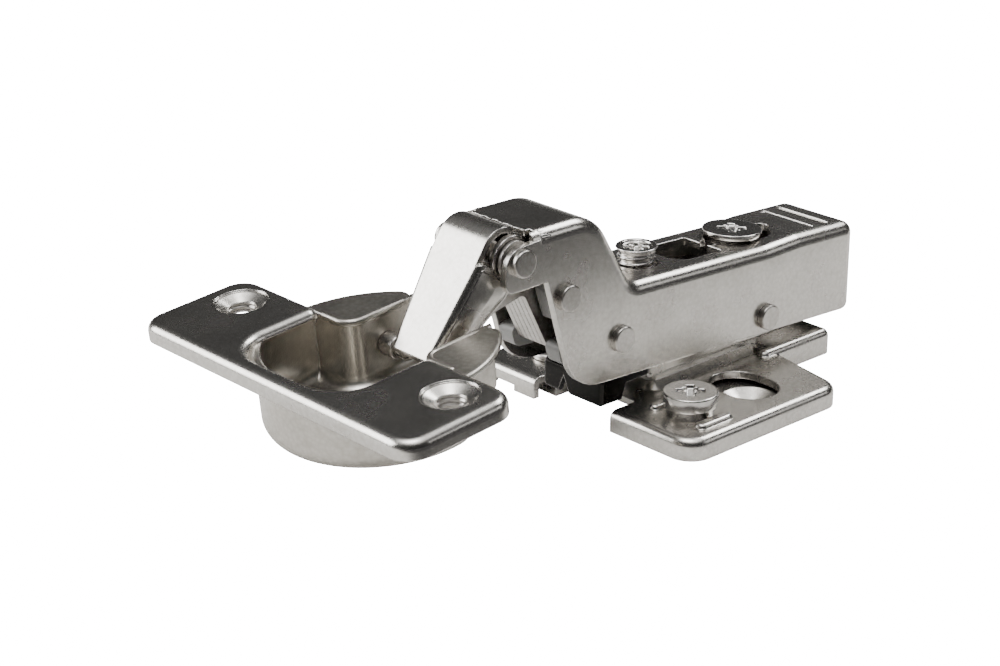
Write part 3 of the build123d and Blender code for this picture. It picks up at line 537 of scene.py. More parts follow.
@dataclass(frozen=True)
class MouldedFinish:
    """Moulded plastic with a fine matt skin.

    Attributes:
        name: the material's name.
        color: the plastic's colour.
        roughness: the mean roughness.
        shade: how much of the colour is left where it is clouded.
        spread: how far the clouds move the roughness.
        bump: the strength of the skin's grain.
    """

    name: str
    color: Color
    roughness: float
    shade: float = 0.86
    spread: float = 0.12
    bump: float = 0.5

    def build(self, groups: EffectGroups) -> bpy.types.Material:
        """Make the material.

        Args:
            groups: the shared effects.

        Returns:
            The finished material.
        """
        material, graph, shader = new_material(self.name)
        clouds = graph.group(groups.stains)["Amount"]
        shaded = tuple(self.shade * share for share in self.color)
        graph.feed(shader.inputs["Base Color"], graph.blend(self.color, shaded, clouds))
        moved = graph.maths("MULTIPLY", clouds, self.spread)
        graph.feed(shader.inputs["Roughness"], graph.maths("ADD", moved, self.roughness - self.spread / 2))
        scale, depth = Grain.MOULDED.value
        height = graph.group(groups.grain, Scale=scale)["Height"]
        graph.feed(shader.inputs["Normal"], graph.bump(height, depth, self.bump))
        return material


NICKEL_SHEET = PlatedFinish(
    "nickel_sheet", Grain.ROLLED, (0.72, 0.70, 0.665), (0.64, 0.62, 0.585), 0.265, 0.06, 0.00028
)
# The adapter's folded front, darkened almost to black with painted shade.
NICKEL_FOLD_SHADED = replace(NICKEL_SHEET, name="nickel_fold_shaded", hollow=PaintedShadeRegion.FOLD, painted_shade_color=(0.018, 0.017, 0.016))
# The inside of the cup is darkened with painted shade.
NICKEL_CUP = PlatedFinish(
    "nickel_cup", Grain.DRAWN, (0.66, 0.635, 0.59), (0.56, 0.535, 0.485), 0.32, 0.10, 0.00055,
    PaintedShadeRegion.CUP, (0.59, 0.565, 0.52),
)
BRIGHT_SCREW = PlatedFinish(
    "bright_screw", Grain.TURNED, (0.74, 0.725, 0.70), (0.64, 0.62, 0.60), 0.24, 0.06, 0.00012
)
BRIGHT_RIVET = PlatedFinish(
    "bright_rivet", Grain.HEADED, (0.68, 0.66, 0.63), (0.56, 0.54, 0.51), 0.30, 0.10, 0.00018
)
PUNCHED_PLATE = PlatedFinish(
    "punched_plate", Grain.PUNCHED, (0.60, 0.58, 0.55), (0.48, 0.46, 0.43), 0.34, 0.12, 0.00008
)
SPRING_WIRE = PlatedFinish(
    "spring_wire", Grain.WIRE, (0.56, 0.55, 0.53), (0.46, 0.45, 0.43), 0.25, 0.06, 0.00005
)
PALE_PLASTIC = MouldedFinish("pale_plastic", (0.30, 0.30, 0.29), 0.45)
DARK_PLASTIC = MouldedFinish("dark_plastic", (0.03, 0.03, 0.033), 0.4)

FINISH_OF_SLOT = {
    "nickel_sheet": NICKEL_SHEET,
    "nickel_cup": NICKEL_CUP,
    "bright_screw": BRIGHT_SCREW,
    "bright_rivet": BRIGHT_RIVET,
    "plain_steel": PUNCHED_PLATE,
    "spring_wire": SPRING_WIRE,
    "pale_plastic": PALE_PLASTIC,
    "dark_plastic": DARK_PLASTIC,
    "nickel_fold_shaded": NICKEL_FOLD_SHADED,
}


class FinishBook:
    """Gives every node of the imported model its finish, by the record's material slot."""

    def __init__(self) -> None:
        """Build each finish once."""
        groups = EffectGroups()
        self.materials = {slot: finish.build(groups) for slot, finish in FINISH_OF_SLOT.items()}

    def dress(self, frame: dict) -> int:
        """Put each node's finish on it.


        Returns:
            How many nodes were dressed.
        """
        for part in frame["record"]["subparts"]:
            materials = frame["nodes"][part["node"]].data.materials
            materials.clear()
            # The adapter takes the finish with painted shade in its fold.
            slot = "nickel_fold_shaded" if part["node"] == "adapter" else part["material_slot"]
            materials.append(self.materials[slot])
        return len(frame["record"]["subparts"])


# ---------------------------------------------------------------- surfaces worked out with numpy


@dataclass
class Shell:
    """Points and faces of a closed surface.

    Attributes:
        points: rows of x, y, z.
        faces: corner numbers of each face, turning left when seen from outside.
    """

    points: np.ndarray
    faces: list[list[int]]

    def join(self, other: "Shell") -> "Shell":
        """Add another closed shell.

        Args:
            other: the shell to add.

        Returns:
            Both in one.
        """
        shift = len(self.points)
        moved = [[corner + shift for corner in face] for face in other.faces]
        return Shell(np.vstack((self.points, other.points)), self.faces + moved)

    def piece(self, name: str, body: str, slot: str, book: FinishBook, seat: Seat) -> bpy.types.Object:
        """Make the finished piece, which rides on its body.

        Args:
            name: the piece's name.
            body: the body that it rides on.
            slot: the material slot that it takes its finish from.
            book: the finishes.
            seat: the seat that the points are drawn in.

        Returns:
            The new object, at the origin.
        """
        mesh = bpy.data.meshes.new(name)
        mesh.from_pydata(seat.put(self.points).tolist(), [], self.faces)
        mesh.polygons.foreach_set("use_smooth", np.ones(len(self.faces), dtype=bool))
        mesh.update()
        obj = bpy.data.objects.new(name, mesh)
        bpy.context.scene.collection.objects.link(obj)
        mesh.materials.append(book.materials[slot])
        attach(obj, body)
        log.info("%s: %d points on %s", name, len(self.points), body)
        return obj


def round_steps(count: int) -> np.ndarray:
    """Even steps once round, from 0 to just short of 2 pi."""
    return np.linspace(0.0, 2.0 * pi, count, endpoint=False)


def ease(value: np.ndarray) -> np.ndarray:
    """Soft step from 0 to 1: 3 t^2 - 2 t^3, with t held between 0 and 1."""
    held = np.clip(value, 0.0, 1.0)
    return held * held * (3.0 - 2.0 * held)


def grid_faces(rings: int, count: int, loop: bool = False) -> np.ndarray:
    """Faces of a stack of rings, each closed round and joined to the next.

    Args:
        rings: how many rings there are.
        count: how many points each ring has.
        loop: whether the last ring joins the first.

    Returns:
        Four corner numbers for each face.
    """
    row, column = np.meshgrid(np.arange(rings if loop else rings - 1), np.arange(count), indexing="ij")
    below, along = (row + 1) % rings, (column + 1) % count
    corners = (row * count + column, below * count + column, below * count + along, row * count + along)
    return np.stack([corner.ravel() for corner in corners], axis=1)


def spun(profile: np.ndarray, count: int, axis: tuple[float, float] = (0.0, 0.0)) -> np.ndarray:
    """Rings of a surface of revolution about Z: (a + r cos u, b + r sin u, z), with r and z down the profile.

    Args:
        profile: rows of radius and height.
        count: how many points go round.
        axis: where the axis stands, a and b.

    Returns:
        The points, ring after ring.
    """
    angle = round_steps(count)
    x = axis[0] + profile[:, :1] * np.cos(angle)
    y = axis[1] + profile[:, :1] * np.sin(angle)
    return np.stack((x, y, np.broadcast_to(profile[:, 1:], x.shape)), axis=-1).reshape(-1, 3)


def capped(rings: np.ndarray, ring_count: int, count: int) -> Shell:
    """Close a stack of rings with a pole at its top and its bottom, and face it outwards.

    Six times the volume is the sum of a . (b x c) over the triangles. If it is below 0, the faces turn round.

    Args:
        rings: the points, ring after ring.
        ring_count: how many rings there are.
        count: how many points each ring has.

    Returns:
        The closed shell.
    """
    top, bottom = len(rings), len(rings) + 1
    points = np.vstack((rings, rings[:count].mean(axis=0), rings[-count:].mean(axis=0)))
    here = np.arange(count)
    ahead = (here + 1) % count
    last = (ring_count - 1) * count
    upper = np.stack((np.full(count, top), here, ahead), axis=1)
    lower = np.stack((here + last, np.full(count, bottom), ahead + last), axis=1)
    sides, caps = grid_faces(ring_count, count), np.vstack((upper, lower))
    triangles = np.vstack((sides[:, :3], sides[:, [0, 2, 3]], caps))
    a, b, c = (points[triangles[:, corner]] - points.mean(axis=0) for corner in range(3))
    if np.sum(a * np.cross(b, c)) < 0.0:
        sides, caps = sides[:, ::-1], caps[:, ::-1]
    return Shell(points, sides.tolist() + caps.tolist())


def turned(profile: np.ndarray, count: int, axis: tuple[float, float] = (0.0, 0.0)) -> Shell:
    """Closed solid of revolution about Z, as in spun, with a pole at each end.

    Args:
        profile: rows of radius and height, downwards, with no row on the axis.
        count: how many points go round.
        axis: where the axis stands.

    Returns:
        The closed shell.
    """
    return capped(spun(profile, count, axis), len(profile), count)


def swept(path: np.ndarray, section: np.ndarray) -> Shell:
    """Closed bar: a section carried along a path without turning, point = path + section.

    Args:
        path: rows of x, y, z.
        section: one ring of offsets for each row of the path.

    Returns:
        The closed shell.
    """
    return capped((path[:, None, :] + section).reshape(-1, 3), len(path), section.shape[1])


def rounded_corner(radius: float, height: float, size: float) -> np.ndarray:
    """Quarter circle from a flat top round to an upright side: r = R - s + s sin v, z = H - s + s cos v.

    Args:
        radius: the side's radius R.
        height: the top's height H.
        size: the corner's own radius s.

    Returns:
        Rows of radius and height, downwards.
    """
    turn = np.linspace(0.0, pi / 2, 5)
    return np.column_stack((radius - size + size * np.sin(turn), height - size + size * np.cos(turn)))


@dataclass
class Detail:
    """Small pieces that ride on one body, share one finish and are drawn in one seat.

    Attributes:
        body: the body that they ride on.
        slot: the material slot that they take their finish from.
        seat: the seat that they are drawn in.
    """

    body: str
    slot: str
    seat: Seat

    def shells(self) -> dict[str, Shell]:
        """Give each piece's name and shell."""
        raise NotImplementedError

    def build(self, book: FinishBook) -> list[bpy.types.Object]:
        """Make every piece.

        Args:
            book: the finishes.

        Returns:
            The pieces, in the order of shells.
        """
        named = self.shells().items()
        return [shell.piece(name, self.body, self.slot, book, self.seat) for name, shell in named]


# ---------------------------------------------------------------- adjusting screws


@dataclass
class DriverStar:
    """The cross-shaped driver recess with four small ribs between its arms.

    Attributes:
        reach: how far an arm runs from the middle.
        half_width: half an arm's width.
        depth: the depth in the middle.
        turn: the first arm's heading, in degrees.
        rib: a rib's length, width and depth, as shares of an arm's.
        wall: how much of the half width the side wall's slope takes.
        end: how much of the reach the end wall's slope takes.
        rise: how much of the depth is lost from the middle to an arm's end.
    """

    reach: float = 2.3 * MM
    half_width: float = 0.60 * MM
    depth: float = 1.25 * MM
    turn: float = 45.0
    rib: tuple[float, float, float] = (0.72, 0.45, 0.6)
    wall: float = 0.30
    end: float = 0.12
    rise: float = 0.6

    def depth_at(self, radius: np.ndarray, angle: np.ndarray) -> np.ndarray:
        """Depth below the head's top: an arm's or, half way between two arms, a rib's, whichever is deeper.

        Args:
            radius: distance from the axis.
            angle: heading round it.

        Returns:
            The depth at each point.
        """
        heading = angle - radians(self.turn)
        long, wide, deep = self.rib
        arm = self._spoke(radius, heading, self.reach, self.half_width)
        rib = deep * self._spoke(radius, heading + pi / 4, long * self.reach, wide * self.half_width)
        return self.depth * np.maximum(arm, rib)

    def _spoke(self, radius: np.ndarray, heading: np.ndarray, reach: float, half: float) -> np.ndarray:
        """One set of four spokes, with p along a spoke and q across it.

        The depth is e((w - |q|) / a + 1/2) e((R - p) / b) (1 - c p / R0).

        Args:
            radius: distance from the axis.
            heading: angle from the first spoke.
            reach: the spokes' length R.
            half: their half width w.

        Returns:
            The depth at each point, from 0 to 1.
        """
        away = (heading + pi / 4) % (pi / 2) - pi / 4
        along, across = radius * np.cos(away), radius * np.abs(np.sin(away))
        wall = ease((half - across) / (self.wall * self.half_width) + 0.5)
        end = ease((reach - along) / (self.end * self.reach))
        return wall * end * (1.0 - self.rise * along / self.reach)


@dataclass(frozen=True)
class Thread:
    """A screw's thread.

    Attributes:
        low: its lowest height.
        high: its highest height.
        root: the radius at its root.
        crest: the radius at its crest.
        pitch: how far it climbs in one turn.
    """

    low: float
    high: float
    root: float
    crest: float
    pitch: float


@dataclass(frozen=True)
class Disc:
    """An eccentric disc under a screw's head.

    Attributes:
        radius: its radius.
        shift: how far its middle is from the screw's axis, along x and y.
        low: its lowest height.
        high: its highest height.
    """

    radius: float
    shift: tuple[float, float]
    low: float
    high: float


@dataclass
class AdjustingScrew:
    """One headed screw with its driver star and, where it has one, a thread or an eccentric disc.

    Attributes:
        name: the piece's name.
        node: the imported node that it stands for.
        body: the body that it rides on.
        seat: the seat that it is drawn in.
        axis: its axis in the seat, x and y.
        top: the height of its head's top.
        head: the head's radius.
        corner: the radius of the head's upper edge.
        lower: rows of radius and height below the head's edge, in millimetres.
        bowl: how deep the head's top is hollowed inside its rim.
        thread: the thread, or None.
        disc: the eccentric disc, or None.
        star: the driver recess.
    """

    name: str
    node: str
    body: str
    seat: Seat
    axis: tuple[float, float]
    top: float
    head: float
    corner: float
    lower: list[tuple[float, float]]
    bowl: float = 0.0
    thread: Thread | None = None
    disc: Disc | None = None
    star: DriverStar = field(default_factory=DriverStar)

    def build(self, book: FinishBook) -> bpy.types.Object:
        """Turn the screw and put it in place of its node.

        Args:
            book: the finishes.

        Returns:
            The new piece.
        """
        shell = self._stem()
        if self.disc is not None:
            disc, hub = self.disc, 0.5 * self.disc.radius
            profile = [(hub, disc.high), (disc.radius, disc.high), (disc.radius, disc.low), (hub, disc.low)]
            axis = (self.axis[0] + disc.shift[0], self.axis[1] + disc.shift[1])
            shell = shell.join(turned(np.array(profile), 96, axis))
        piece = shell.piece(self.name, self.body, "bright_screw", book, self.seat)
        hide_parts(self.node)
        return piece

    def _stem(self) -> Shell:
        """Head, star, side and shank as one stack of rings.

        Inside the head z = H - bowl e((0.8 R - r) / 0.1 R) - star depth.

        Returns:
            The closed shell.
        """
        count, rings_per_turn = 144, 14
        inner = np.linspace(0.06 * MM, self.head - self.corner, 44)
        edge = rounded_corner(self.head, self.top, self.corner)[1:]
        rows = [np.column_stack((inner, np.full(len(inner), self.top))), edge, np.array(self.lower) * MM]
        if self.thread is not None:
            turns = (self.thread.high - self.thread.low) / self.thread.pitch
            heights = np.linspace(self.thread.high, self.thread.low, int(rings_per_turn * turns))
            rows.insert(2, np.column_stack((np.full(len(heights), self.thread.root), heights)))
        profile = np.vstack(rows)
        radius = np.repeat(profile[:, :1], count, axis=1)
        height = np.repeat(profile[:, 1:], count, axis=1)
        angle = np.broadcast_to(round_steps(count), radius.shape)
        top = slice(0, len(inner))
        hollow = self.bowl * ease((0.80 * self.head - radius[top]) / (0.10 * self.head))
        height[top] -= hollow + self.star.depth_at(radius[top], angle[top])
        if self.thread is not None:
            wound = slice(len(inner) + len(edge), len(inner) + len(edge) + len(heights))
            radius[wound] += self._crest(height[wound], angle[wound])
        x = self.axis[0] + radius * np.cos(angle)
        y = self.axis[1] + radius * np.sin(angle)
        return capped(np.stack((x, y, height), axis=-1).reshape(-1, 3), len(profile), count)

    def _crest(self, height: np.ndarray, angle: np.ndarray) -> np.ndarray:
        """How far the thread stands above its root.

        It is (crest - root) f (1 - e(1.6 |2 frac(z / pitch - u / 2 pi) - 1|)), where f fades the thread in
        and out within half a pitch of its ends.

        Args:
            height: the height of each point.
            angle: its heading round the axis.

        Returns:
            The extra radius at each point.
        """
        thread, run_out = self.thread, 0.5 * self.thread.pitch
        saw = np.abs(((height / thread.pitch - angle / (2.0 * pi)) % 1.0) * 2.0 - 1.0)
        fade = ease((thread.high - height) / run_out) * ease((height - thread.low) / run_out)
        return (thread.crest - thread.root) * fade * (1.0 - ease(1.6 * saw))


def height_cam() -> AdjustingScrew:
    """Eccentric screw on the mounting plate that lifts and lowers the carriage."""
    lower = [
        (4.28, 5.25), (4.12, 5.02), (3.85, 4.90), (3.85, 3.75), (2.6, 3.75), (2.6, 2.45), (3.3, 2.45),
        (3.3, 1.85), (1.4, 1.85),
    ]
    return AdjustingScrew(
        "height_cam_turned", "height_cam_screw", "height_cam", ROW_SEAT, axis=(-14.3 * MM, -16.0 * MM),
        top=7.45 * MM, head=4.45 * MM, corner=0.28 * MM, lower=lower,
        disc=Disc(2.8 * MM, (2.3094 * MM, 0.0), 0.05 * MM, 1.87 * MM),
    )


def depth_cam() -> AdjustingScrew:
    """Flat-headed eccentric screw in the arm's web that moves the arm in and out."""
    lower = [(4.78, 12.55), (4.6, 12.4), (3.7, 12.4), (3.7, 10.65), (4.6, 10.65), (4.6, 9.75), (1.2, 9.75)]
    return AdjustingScrew(
        "depth_cam_turned", "depth_cam_screw", "depth_cam", ARM_SEAT, axis=(-0.8 * MM, 0.0),
        top=13.5 * MM, head=5.0 * MM, corner=0.24 * MM, lower=lower,
        disc=Disc(2.3 * MM, (0.0, 1.9581 * MM), 2.75 * MM, 9.77 * MM),
        star=DriverStar(reach=2.5 * MM, depth=0.95 * MM),
    )


def overlay_stem(top: float) -> AdjustingScrew:
    """Threaded side-adjusting screw whose rim stands above the arm.

    Args:
        top: the height of its top in the frame.

    Returns:
        The screw.
    """
    lower = [(2.85, 15.5), (1.8, 15.5), (1.8, 13.8), (3.4, 13.8), (3.4, 12.4), (1.2, 12.4)]
    return AdjustingScrew(
        "overlay_screw_turned", "overlay_screw", "overlay", ROW_SEAT, axis=(-10.649 * MM, 0.0),
        top=top, head=3.4 * MM, corner=0.22 * MM, lower=lower, bowl=0.35 * MM,
        thread=Thread(15.6 * MM, top - 0.9 * MM, 2.85 * MM, 3.1 * MM, 1.0 * MM),
        star=DriverStar(reach=2.1 * MM, half_width=0.4 * MM),
    )


# ---------------------------------------------------------------- cup details


@dataclass
class WingCollars(Detail):
    """The drawn collar under each screw hole of the wings, with its two rolled grooves.

    Attributes:
        spacing: hole to hole, along Y.
        bore: the collar's inner radius.
        outer: its outer radius.
        high: its upper end, in the cup's seat.
        low: its lower end.
        groove: how deep the grooves are.
    """

    body: str = "cup"
    slot: str = "bright_rivet"
    seat: Seat = CUP_SEAT
    spacing: float = 48.0 * MM
    bore: float = 1.97 * MM
    outer: float = 3.1 * MM
    high: float = -1.15 * MM
    low: float = -2.7 * MM
    groove: float = 0.32 * MM

    def shells(self) -> dict[str, Shell]:
        """Roll both collars."""
        return {f"wing_collar_{label}": self._ring(side * self.spacing / 2) for side, label in SIDES}

    def _ring(self, across: float) -> Shell:
        """One collar: its wall's inner radius is bore + g sin^2(2 pi t), with t from 0 to 1 up the hole.

        Args:
            across: the hole's place along Y.

        Returns:
            The closed ring.
        """
        up = np.linspace(0.0, 1.0, 25)
        wall = self.bore + self.groove * np.sin(2.0 * pi * up) ** 2
        inside = np.column_stack((wall, self.low + (self.high - self.low) * up))
        profile = np.vstack((inside, [(self.outer, self.high), (self.outer, self.low)]))
        return Shell(spun(profile, 72, (0.0, across)), grid_faces(len(profile), 72, loop=True).tolist())


@dataclass
class PivotCollars(Detail):
    """Turned steel collars on the link's lower pivot, each standing for one bush.

    Attributes:
        back: the pivot's place behind the screw line, in the cup's seat.
        down: its depth below the cover's top.
        radius: the collar's radius.
        near: its end nearer the middle.
        far: its end at the cheek.
        edge: the radius of its rounded edges.
    """

    body: str = "cup"
    slot: str = "plain_steel"
    seat: Seat = CUP_SEAT
    back: float = 14.5 * MM
    down: float = 7.5 * MM
    radius: float = 1.88 * MM
    near: float = 4.99 * MM
    far: float = 8.03 * MM
    edge: float = 0.3 * MM

    def shells(self) -> dict[str, Shell]:
        """Turn a collar upright, then lay it along Y to either side, which turns its faces round.

        Returns:
            Both collars by name.
        """
        hub = 0.4 * self.radius
        profile = np.vstack((
            [(hub, self.far)],
            rounded_corner(self.radius, self.far, self.edge),
            rounded_corner(self.radius, -self.near, self.edge)[::-1] * [1.0, -1.0],
            [(hub, self.near)],
        ))
        upright = turned(profile, 64)
        faces = [face[::-1] for face in upright.faces]
        x, y, z = upright.points.T
        laid = {}
        for side, label in SIDES:
            points = np.column_stack((self.back + x, side * z, side * y - self.down))
            laid[f"pivot_collar_{label}"] = Shell(points, faces)
        return laid

    def build(self, book: FinishBook) -> list[bpy.types.Object]:
        """Make both collars and put each in place of its bush.

        Args:
            book: the finishes.

        Returns:
            The two pieces.
        """
        made = super().build(book)
        for piece, (_, label) in zip(made, SIDES):
            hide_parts(f"cup_bush_{label}")
        return made


@dataclass
class CheekRolls(Detail):
    """The rolled edge where the cup's rim turns down into its two cheeks, drawn in the cup's seat.

    Attributes:
        wall: the cross wall's place behind the screw line.
        cheek: the cheeks' inner half width.
        corner: the radius of the corner between them.
        start: where the roll starts, out along the cross wall.
        end: where it ends, back along the cheek.
        top: the rim's upper face.
        radius: the roll's own radius.
        sunk: how far its middle lies inside the sheet.
    """

    body: str = "cup"
    slot: str = "nickel_cup"
    seat: Seat = CUP_SEAT
    wall: float = 7.6 * MM
    cheek: float = 8.1 * MM
    corner: float = 3.0 * MM
    start: float = 15.6 * MM
    end: float = 19.4 * MM
    top: float = -2.1 * MM
    radius: float = 0.60 * MM
    sunk: float = 0.44 * MM

    def shells(self) -> dict[str, Shell]:
        """Roll both edges."""
        return {f"cheek_roll_{label}": self._roll(side) for side, label in SIDES}

    def _roll(self, side: int) -> Shell:
        """A round bar along the wall, round the corner and along the cheek.

        A point is p + R(cos w n + sin w z), where n is square to the path in plan and w goes round the bar.
        Along the bar R is radius (1 - v^20)^(1/2) and ends a little above 0.

        Args:
            side: 1 for the left cheek and -1 for the right one.

        Returns:
            The closed bar.
        """
        centre = np.array([self.wall + self.corner, self.cheek + self.corner])
        turn = np.linspace(pi, 1.5 * pi, 16)
        arc = centre + (self.corner - self.sunk) * np.column_stack((np.cos(turn), np.sin(turn)))
        wall, cheek = self.wall + self.sunk, self.cheek + self.sunk
        first = np.column_stack((np.full(12, wall), np.linspace(self.start, centre[1], 12)))[:-1]
        last = np.column_stack((np.linspace(centre[0], self.end, 16), np.full(16, cheek)))[1:]
        plan = np.vstack((first, arc, last))
        ahead = np.gradient(plan, axis=0)
        ahead /= np.linalg.norm(ahead, axis=1, keepdims=True)
        place = np.linspace(-1.0, 1.0, len(plan))
        radius = np.sqrt(np.clip(1.0 - place**20, 0.02, 1.0))[:, None] * self.radius
        out, up = radius * np.cos(round_steps(20)), radius * np.sin(round_steps(20))
        section = np.stack((-out * ahead[:, 1:], out * ahead[:, :1], up), axis=-1)
        path = np.column_stack((plan, np.full(len(plan), self.top - self.sunk)))
        mirror = np.array([1.0, side, 1.0])
        return swept(path * mirror, section * mirror)


# ---------------------------------------------------------------- arm and link details


@dataclass
class NoseTrim(Detail):
    """What the cutting tool left at the arm's nose: a burr on the web's edge and a bright lug on each bend.

    Attributes:
        ahead: the web's front edge, ahead of the arm's tilt pin.
        up: the height of the burr there.
        half: half the burr's length.
        waver: how far the burr strays along X and along Z.
        burr: the burr's mean radius and how far it varies.
        lug: length, width and height of each lug.
        lug_across: how far from the middle each lug stands.
        lug_ahead: the lugs' middle, ahead of the tilt pin.
        lug_up: the same, above the tilt pin.
        lug_fall: how far a lug drops for each step outwards.
    """

    body: str = "arm"
    slot: str = "bright_screw"
    seat: Seat = ARM_SEAT
    ahead: float = 53.8 * MM
    up: float = 24.28 * MM
    half: float = 5.85 * MM
    waver: tuple[float, float] = (0.09 * MM, 0.05 * MM)
    burr: tuple[float, float] = (0.11 * MM, 0.04 * MM)
    lug: tuple[float, float, float] = (2.5 * MM, 1.3 * MM, 0.62 * MM)
    lug_across: float = 7.38 * MM
    lug_ahead: float = 51.2 * MM
    lug_up: float = 23.62 * MM
    lug_fall: float = 0.85

    def shells(self) -> dict[str, Shell]:
        """Make the burr and both lugs."""
        return {"web_burr": self._burr(), **{f"bend_lug_{label}": self._lug(side) for side, label in SIDES}}

    def _burr(self) -> Shell:
        """A thin bar along Y, with v from -1 to 1.

        Its middle is x0 + a sin(9 v) sin(23 v + 1) and z0 + b sin(13 v + 0.4), its radius r + d sin(17 v).

        Returns:
            The closed bar.
        """
        run = np.linspace(-1.0, 1.0, 90)
        x = self.waver[0] * np.sin(9.0 * run) * np.sin(23.0 * run + 1.0) - self.ahead
        z = self.waver[1] * np.sin(13.0 * run + 0.4) + self.up
        radius = (self.burr[0] + self.burr[1] * np.sin(17.0 * run))[:, None]
        back, up = radius * np.cos(round_steps(12)), radius * np.sin(round_steps(12))
        section = np.stack((back, np.zeros_like(back), up), axis=-1)
        return swept(np.column_stack((x, self.half * run, z)), section)

    def _lug(self, side: int) -> Shell:
        """A small pillow: |x|^4 + |z|^4 = 1 carried across, drawn in at both ends as (1 - v^6)^(1/2).

        Args:
            side: 1 for the left bend and -1 for the right one.

        Returns:
            The closed lug.
        """
        long, wide, high = self.lug
        run, turn = np.linspace(-0.995, 0.995, 24), round_steps(32)
        shrink = np.sqrt(1.0 - run**6)[:, None]
        x, z = (shrink * np.sign(wave) * np.sqrt(np.abs(wave)) for wave in (np.cos(turn), np.sin(turn)))
        section = np.stack((x * long / 2, np.zeros_like(x), z * high / 2), axis=-1)
        out = run * wide / 2
        across, up = side * self.lug_across + out, self.lug_up - self.lug_fall * side * out
        return swept(np.column_stack((np.full(len(run), -self.lug_ahead), across, up)), section)


@dataclass
class FormedEars(Detail):
    """The soft pressed swell on the outside of each flange of the outer link, with its crease.

    The link's own directions are s, down its web from the nose pin, and t, inwards from the web's outer face.

    Attributes:
        pin: the nose pin's place, x and z.
        slope: the web's slope below the horizontal, in degrees.
        web: distance from the nose pin to the web's outer face.
        span: where the swell starts and ends along s.
        front: where it starts along t.
        rear: where it ends along t, as rows of s and t in millimetres.
        half_top: the link's half width at the nose pin.
        taper: how much of it is lost for each metre of s.
        rise: how far the swell stands out.
        sunk: how far its inner face lies inside the flange.
        crease: where the crease runs across the flange, from 0 at the web to 1 at its rear edge.
        ends: the shares of its length over which it swells up and dies down.
        edges: the same across it.
    """

    body: str = "outer_link"
    slot: str = "nickel_sheet"
    seat: Seat = ROW_SEAT
    pin: tuple[float, float] = (-43.1022 * MM, 33.6541 * MM)
    slope: float = 56.4
    web: float = 5.4 * MM
    span: tuple[float, float] = (3.4 * MM, 18.6 * MM)
    front: float = 0.85 * MM
    rear: tuple[tuple[float, float], ...] = ((0.0, 7.2), (5.6, 7.6), (15.3, 4.6), (20.0, 4.5))
    half_top: float = 6.15 * MM
    taper: float = 1.58 / 18.93
    rise: float = 0.52 * MM
    sunk: float = 0.12 * MM
    crease: float = 0.58
    ends: tuple[float, float] = (0.30, 0.22)
    edges: tuple[float, float] = (0.05, 0.12)

    def shells(self) -> dict[str, Shell]:
        """Press both ears."""
        return {f"formed_ear_{label}": self._ear(side) for side, label in SIDES}

    def _ear(self, side: int) -> Shell:
        """One swell: h = H a(s) b(v) c(v), with v from 0 at the web to 1 at the rear edge.

        Here b is 1 - (1 - v / k)^2 up to the crease k and falls straight to 1/4 after it, while a and c bring
        the swell softly down to nothing at its ends and edges.

        Args:
            side: 1 for the left flange and -1 for the right one.

        Returns:
            The closed shell.
        """
        run, across = np.linspace(0.0, 1.0, 60), np.linspace(0.0, 1.0, 40)
        s = self.span[0] + (self.span[1] - self.span[0]) * run
        knots = np.array(self.rear) * MM
        t = self.front + (np.interp(s, knots[:, 0], knots[:, 1])[:, None] - self.front) * across
        rising = 1.0 - (1.0 - np.minimum(across / self.crease, 1.0)) ** 2
        falling = 1.0 - 0.75 * np.maximum(across - self.crease, 0.0) / (1.0 - self.crease)
        edge = ease(across / self.edges[0]) * ease((1.0 - across) / self.edges[1])
        ends = ease(run / self.ends[0]) * ease((1.0 - run) / self.ends[1])
        flange = (self.half_top - self.taper * s)[:, None]
        outside = flange + self.rise * ends[:, None] * (rising * falling * edge)
        inside = np.broadcast_to(flange - self.sunk, outside.shape)
        depth = np.concatenate((t, t[:, ::-1]), axis=1)[..., None]
        width = np.concatenate((outside, inside[:, ::-1]), axis=1)
        angle = radians(self.slope)
        down, out = np.array([-cos(angle), -sin(angle)]), np.array([-sin(angle), cos(angle)])
        place = np.array(self.pin) + s[:, None, None] * down + (self.web - depth) * out
        rings = np.stack((place[..., 0], side * width, place[..., 1]), axis=-1)
        return capped(rings.reshape(-1, 3), len(run), 2 * len(across))


@dataclass
class IndexDot(Detail):
    """The small punched dot beside the two pressed lines on the arm's rear top.

    Attributes:
        place: its middle in the arm's seat, x and y.
        top: the height of the sheet there.
        radius: the dot's radius.
        rise: how far it stands up.
        foot: how far it goes down into the sheet.
    """

    body: str = "arm"
    slot: str = "bright_screw"
    seat: Seat = ARM_SEAT
    place: tuple[float, float] = (12.9 * MM, 5.3 * MM)
    top: float = 12.5 * MM
    radius: float = 0.5 * MM
    rise: float = 0.14 * MM
    foot: float = 0.1 * MM

    def shells(self) -> dict[str, Shell]:
        """Press the dot: z = top + rise (1 - (r / R)^2), on its foot.

        Returns:
            The dot by name.
        """
        share = np.linspace(0.03, 1.0, 12)
        dome = np.column_stack((share * self.radius, self.top + self.rise * (1.0 - share**2)))
        low = self.top - self.foot
        profile = np.vstack((dome, [(self.radius, low), (0.3 * self.radius, low)]))
        return {"index_dot": turned(profile, 40, self.place)}


# ---------------------------------------------------------------- studio


@dataclass(frozen=True)
class SoftBox:
    """One rectangular soft box.

    Attributes:
        name: the light's name.
        place: its centre.
        size: its width and height.
        power: its power in watts.
    """

    name: str
    place: Point
    size: tuple[float, float]
    power: float

    def hang(self, aim: Point) -> None:
        """Hang the box and turn it to face a point.

        Args:
            aim: the point.
        """
        data = bpy.data.lights.new(self.name, "AREA")
        data.shape = "RECTANGLE"
        data.size, data.size_y = self.size
        data.energy = self.power
        light = bpy.data.objects.new(self.name, data)
        bpy.context.scene.collection.objects.link(light)
        light.location = self.place
        light.rotation_euler = (Vector(aim) - Vector(self.place)).to_track_quat("-Z", "Y").to_euler()


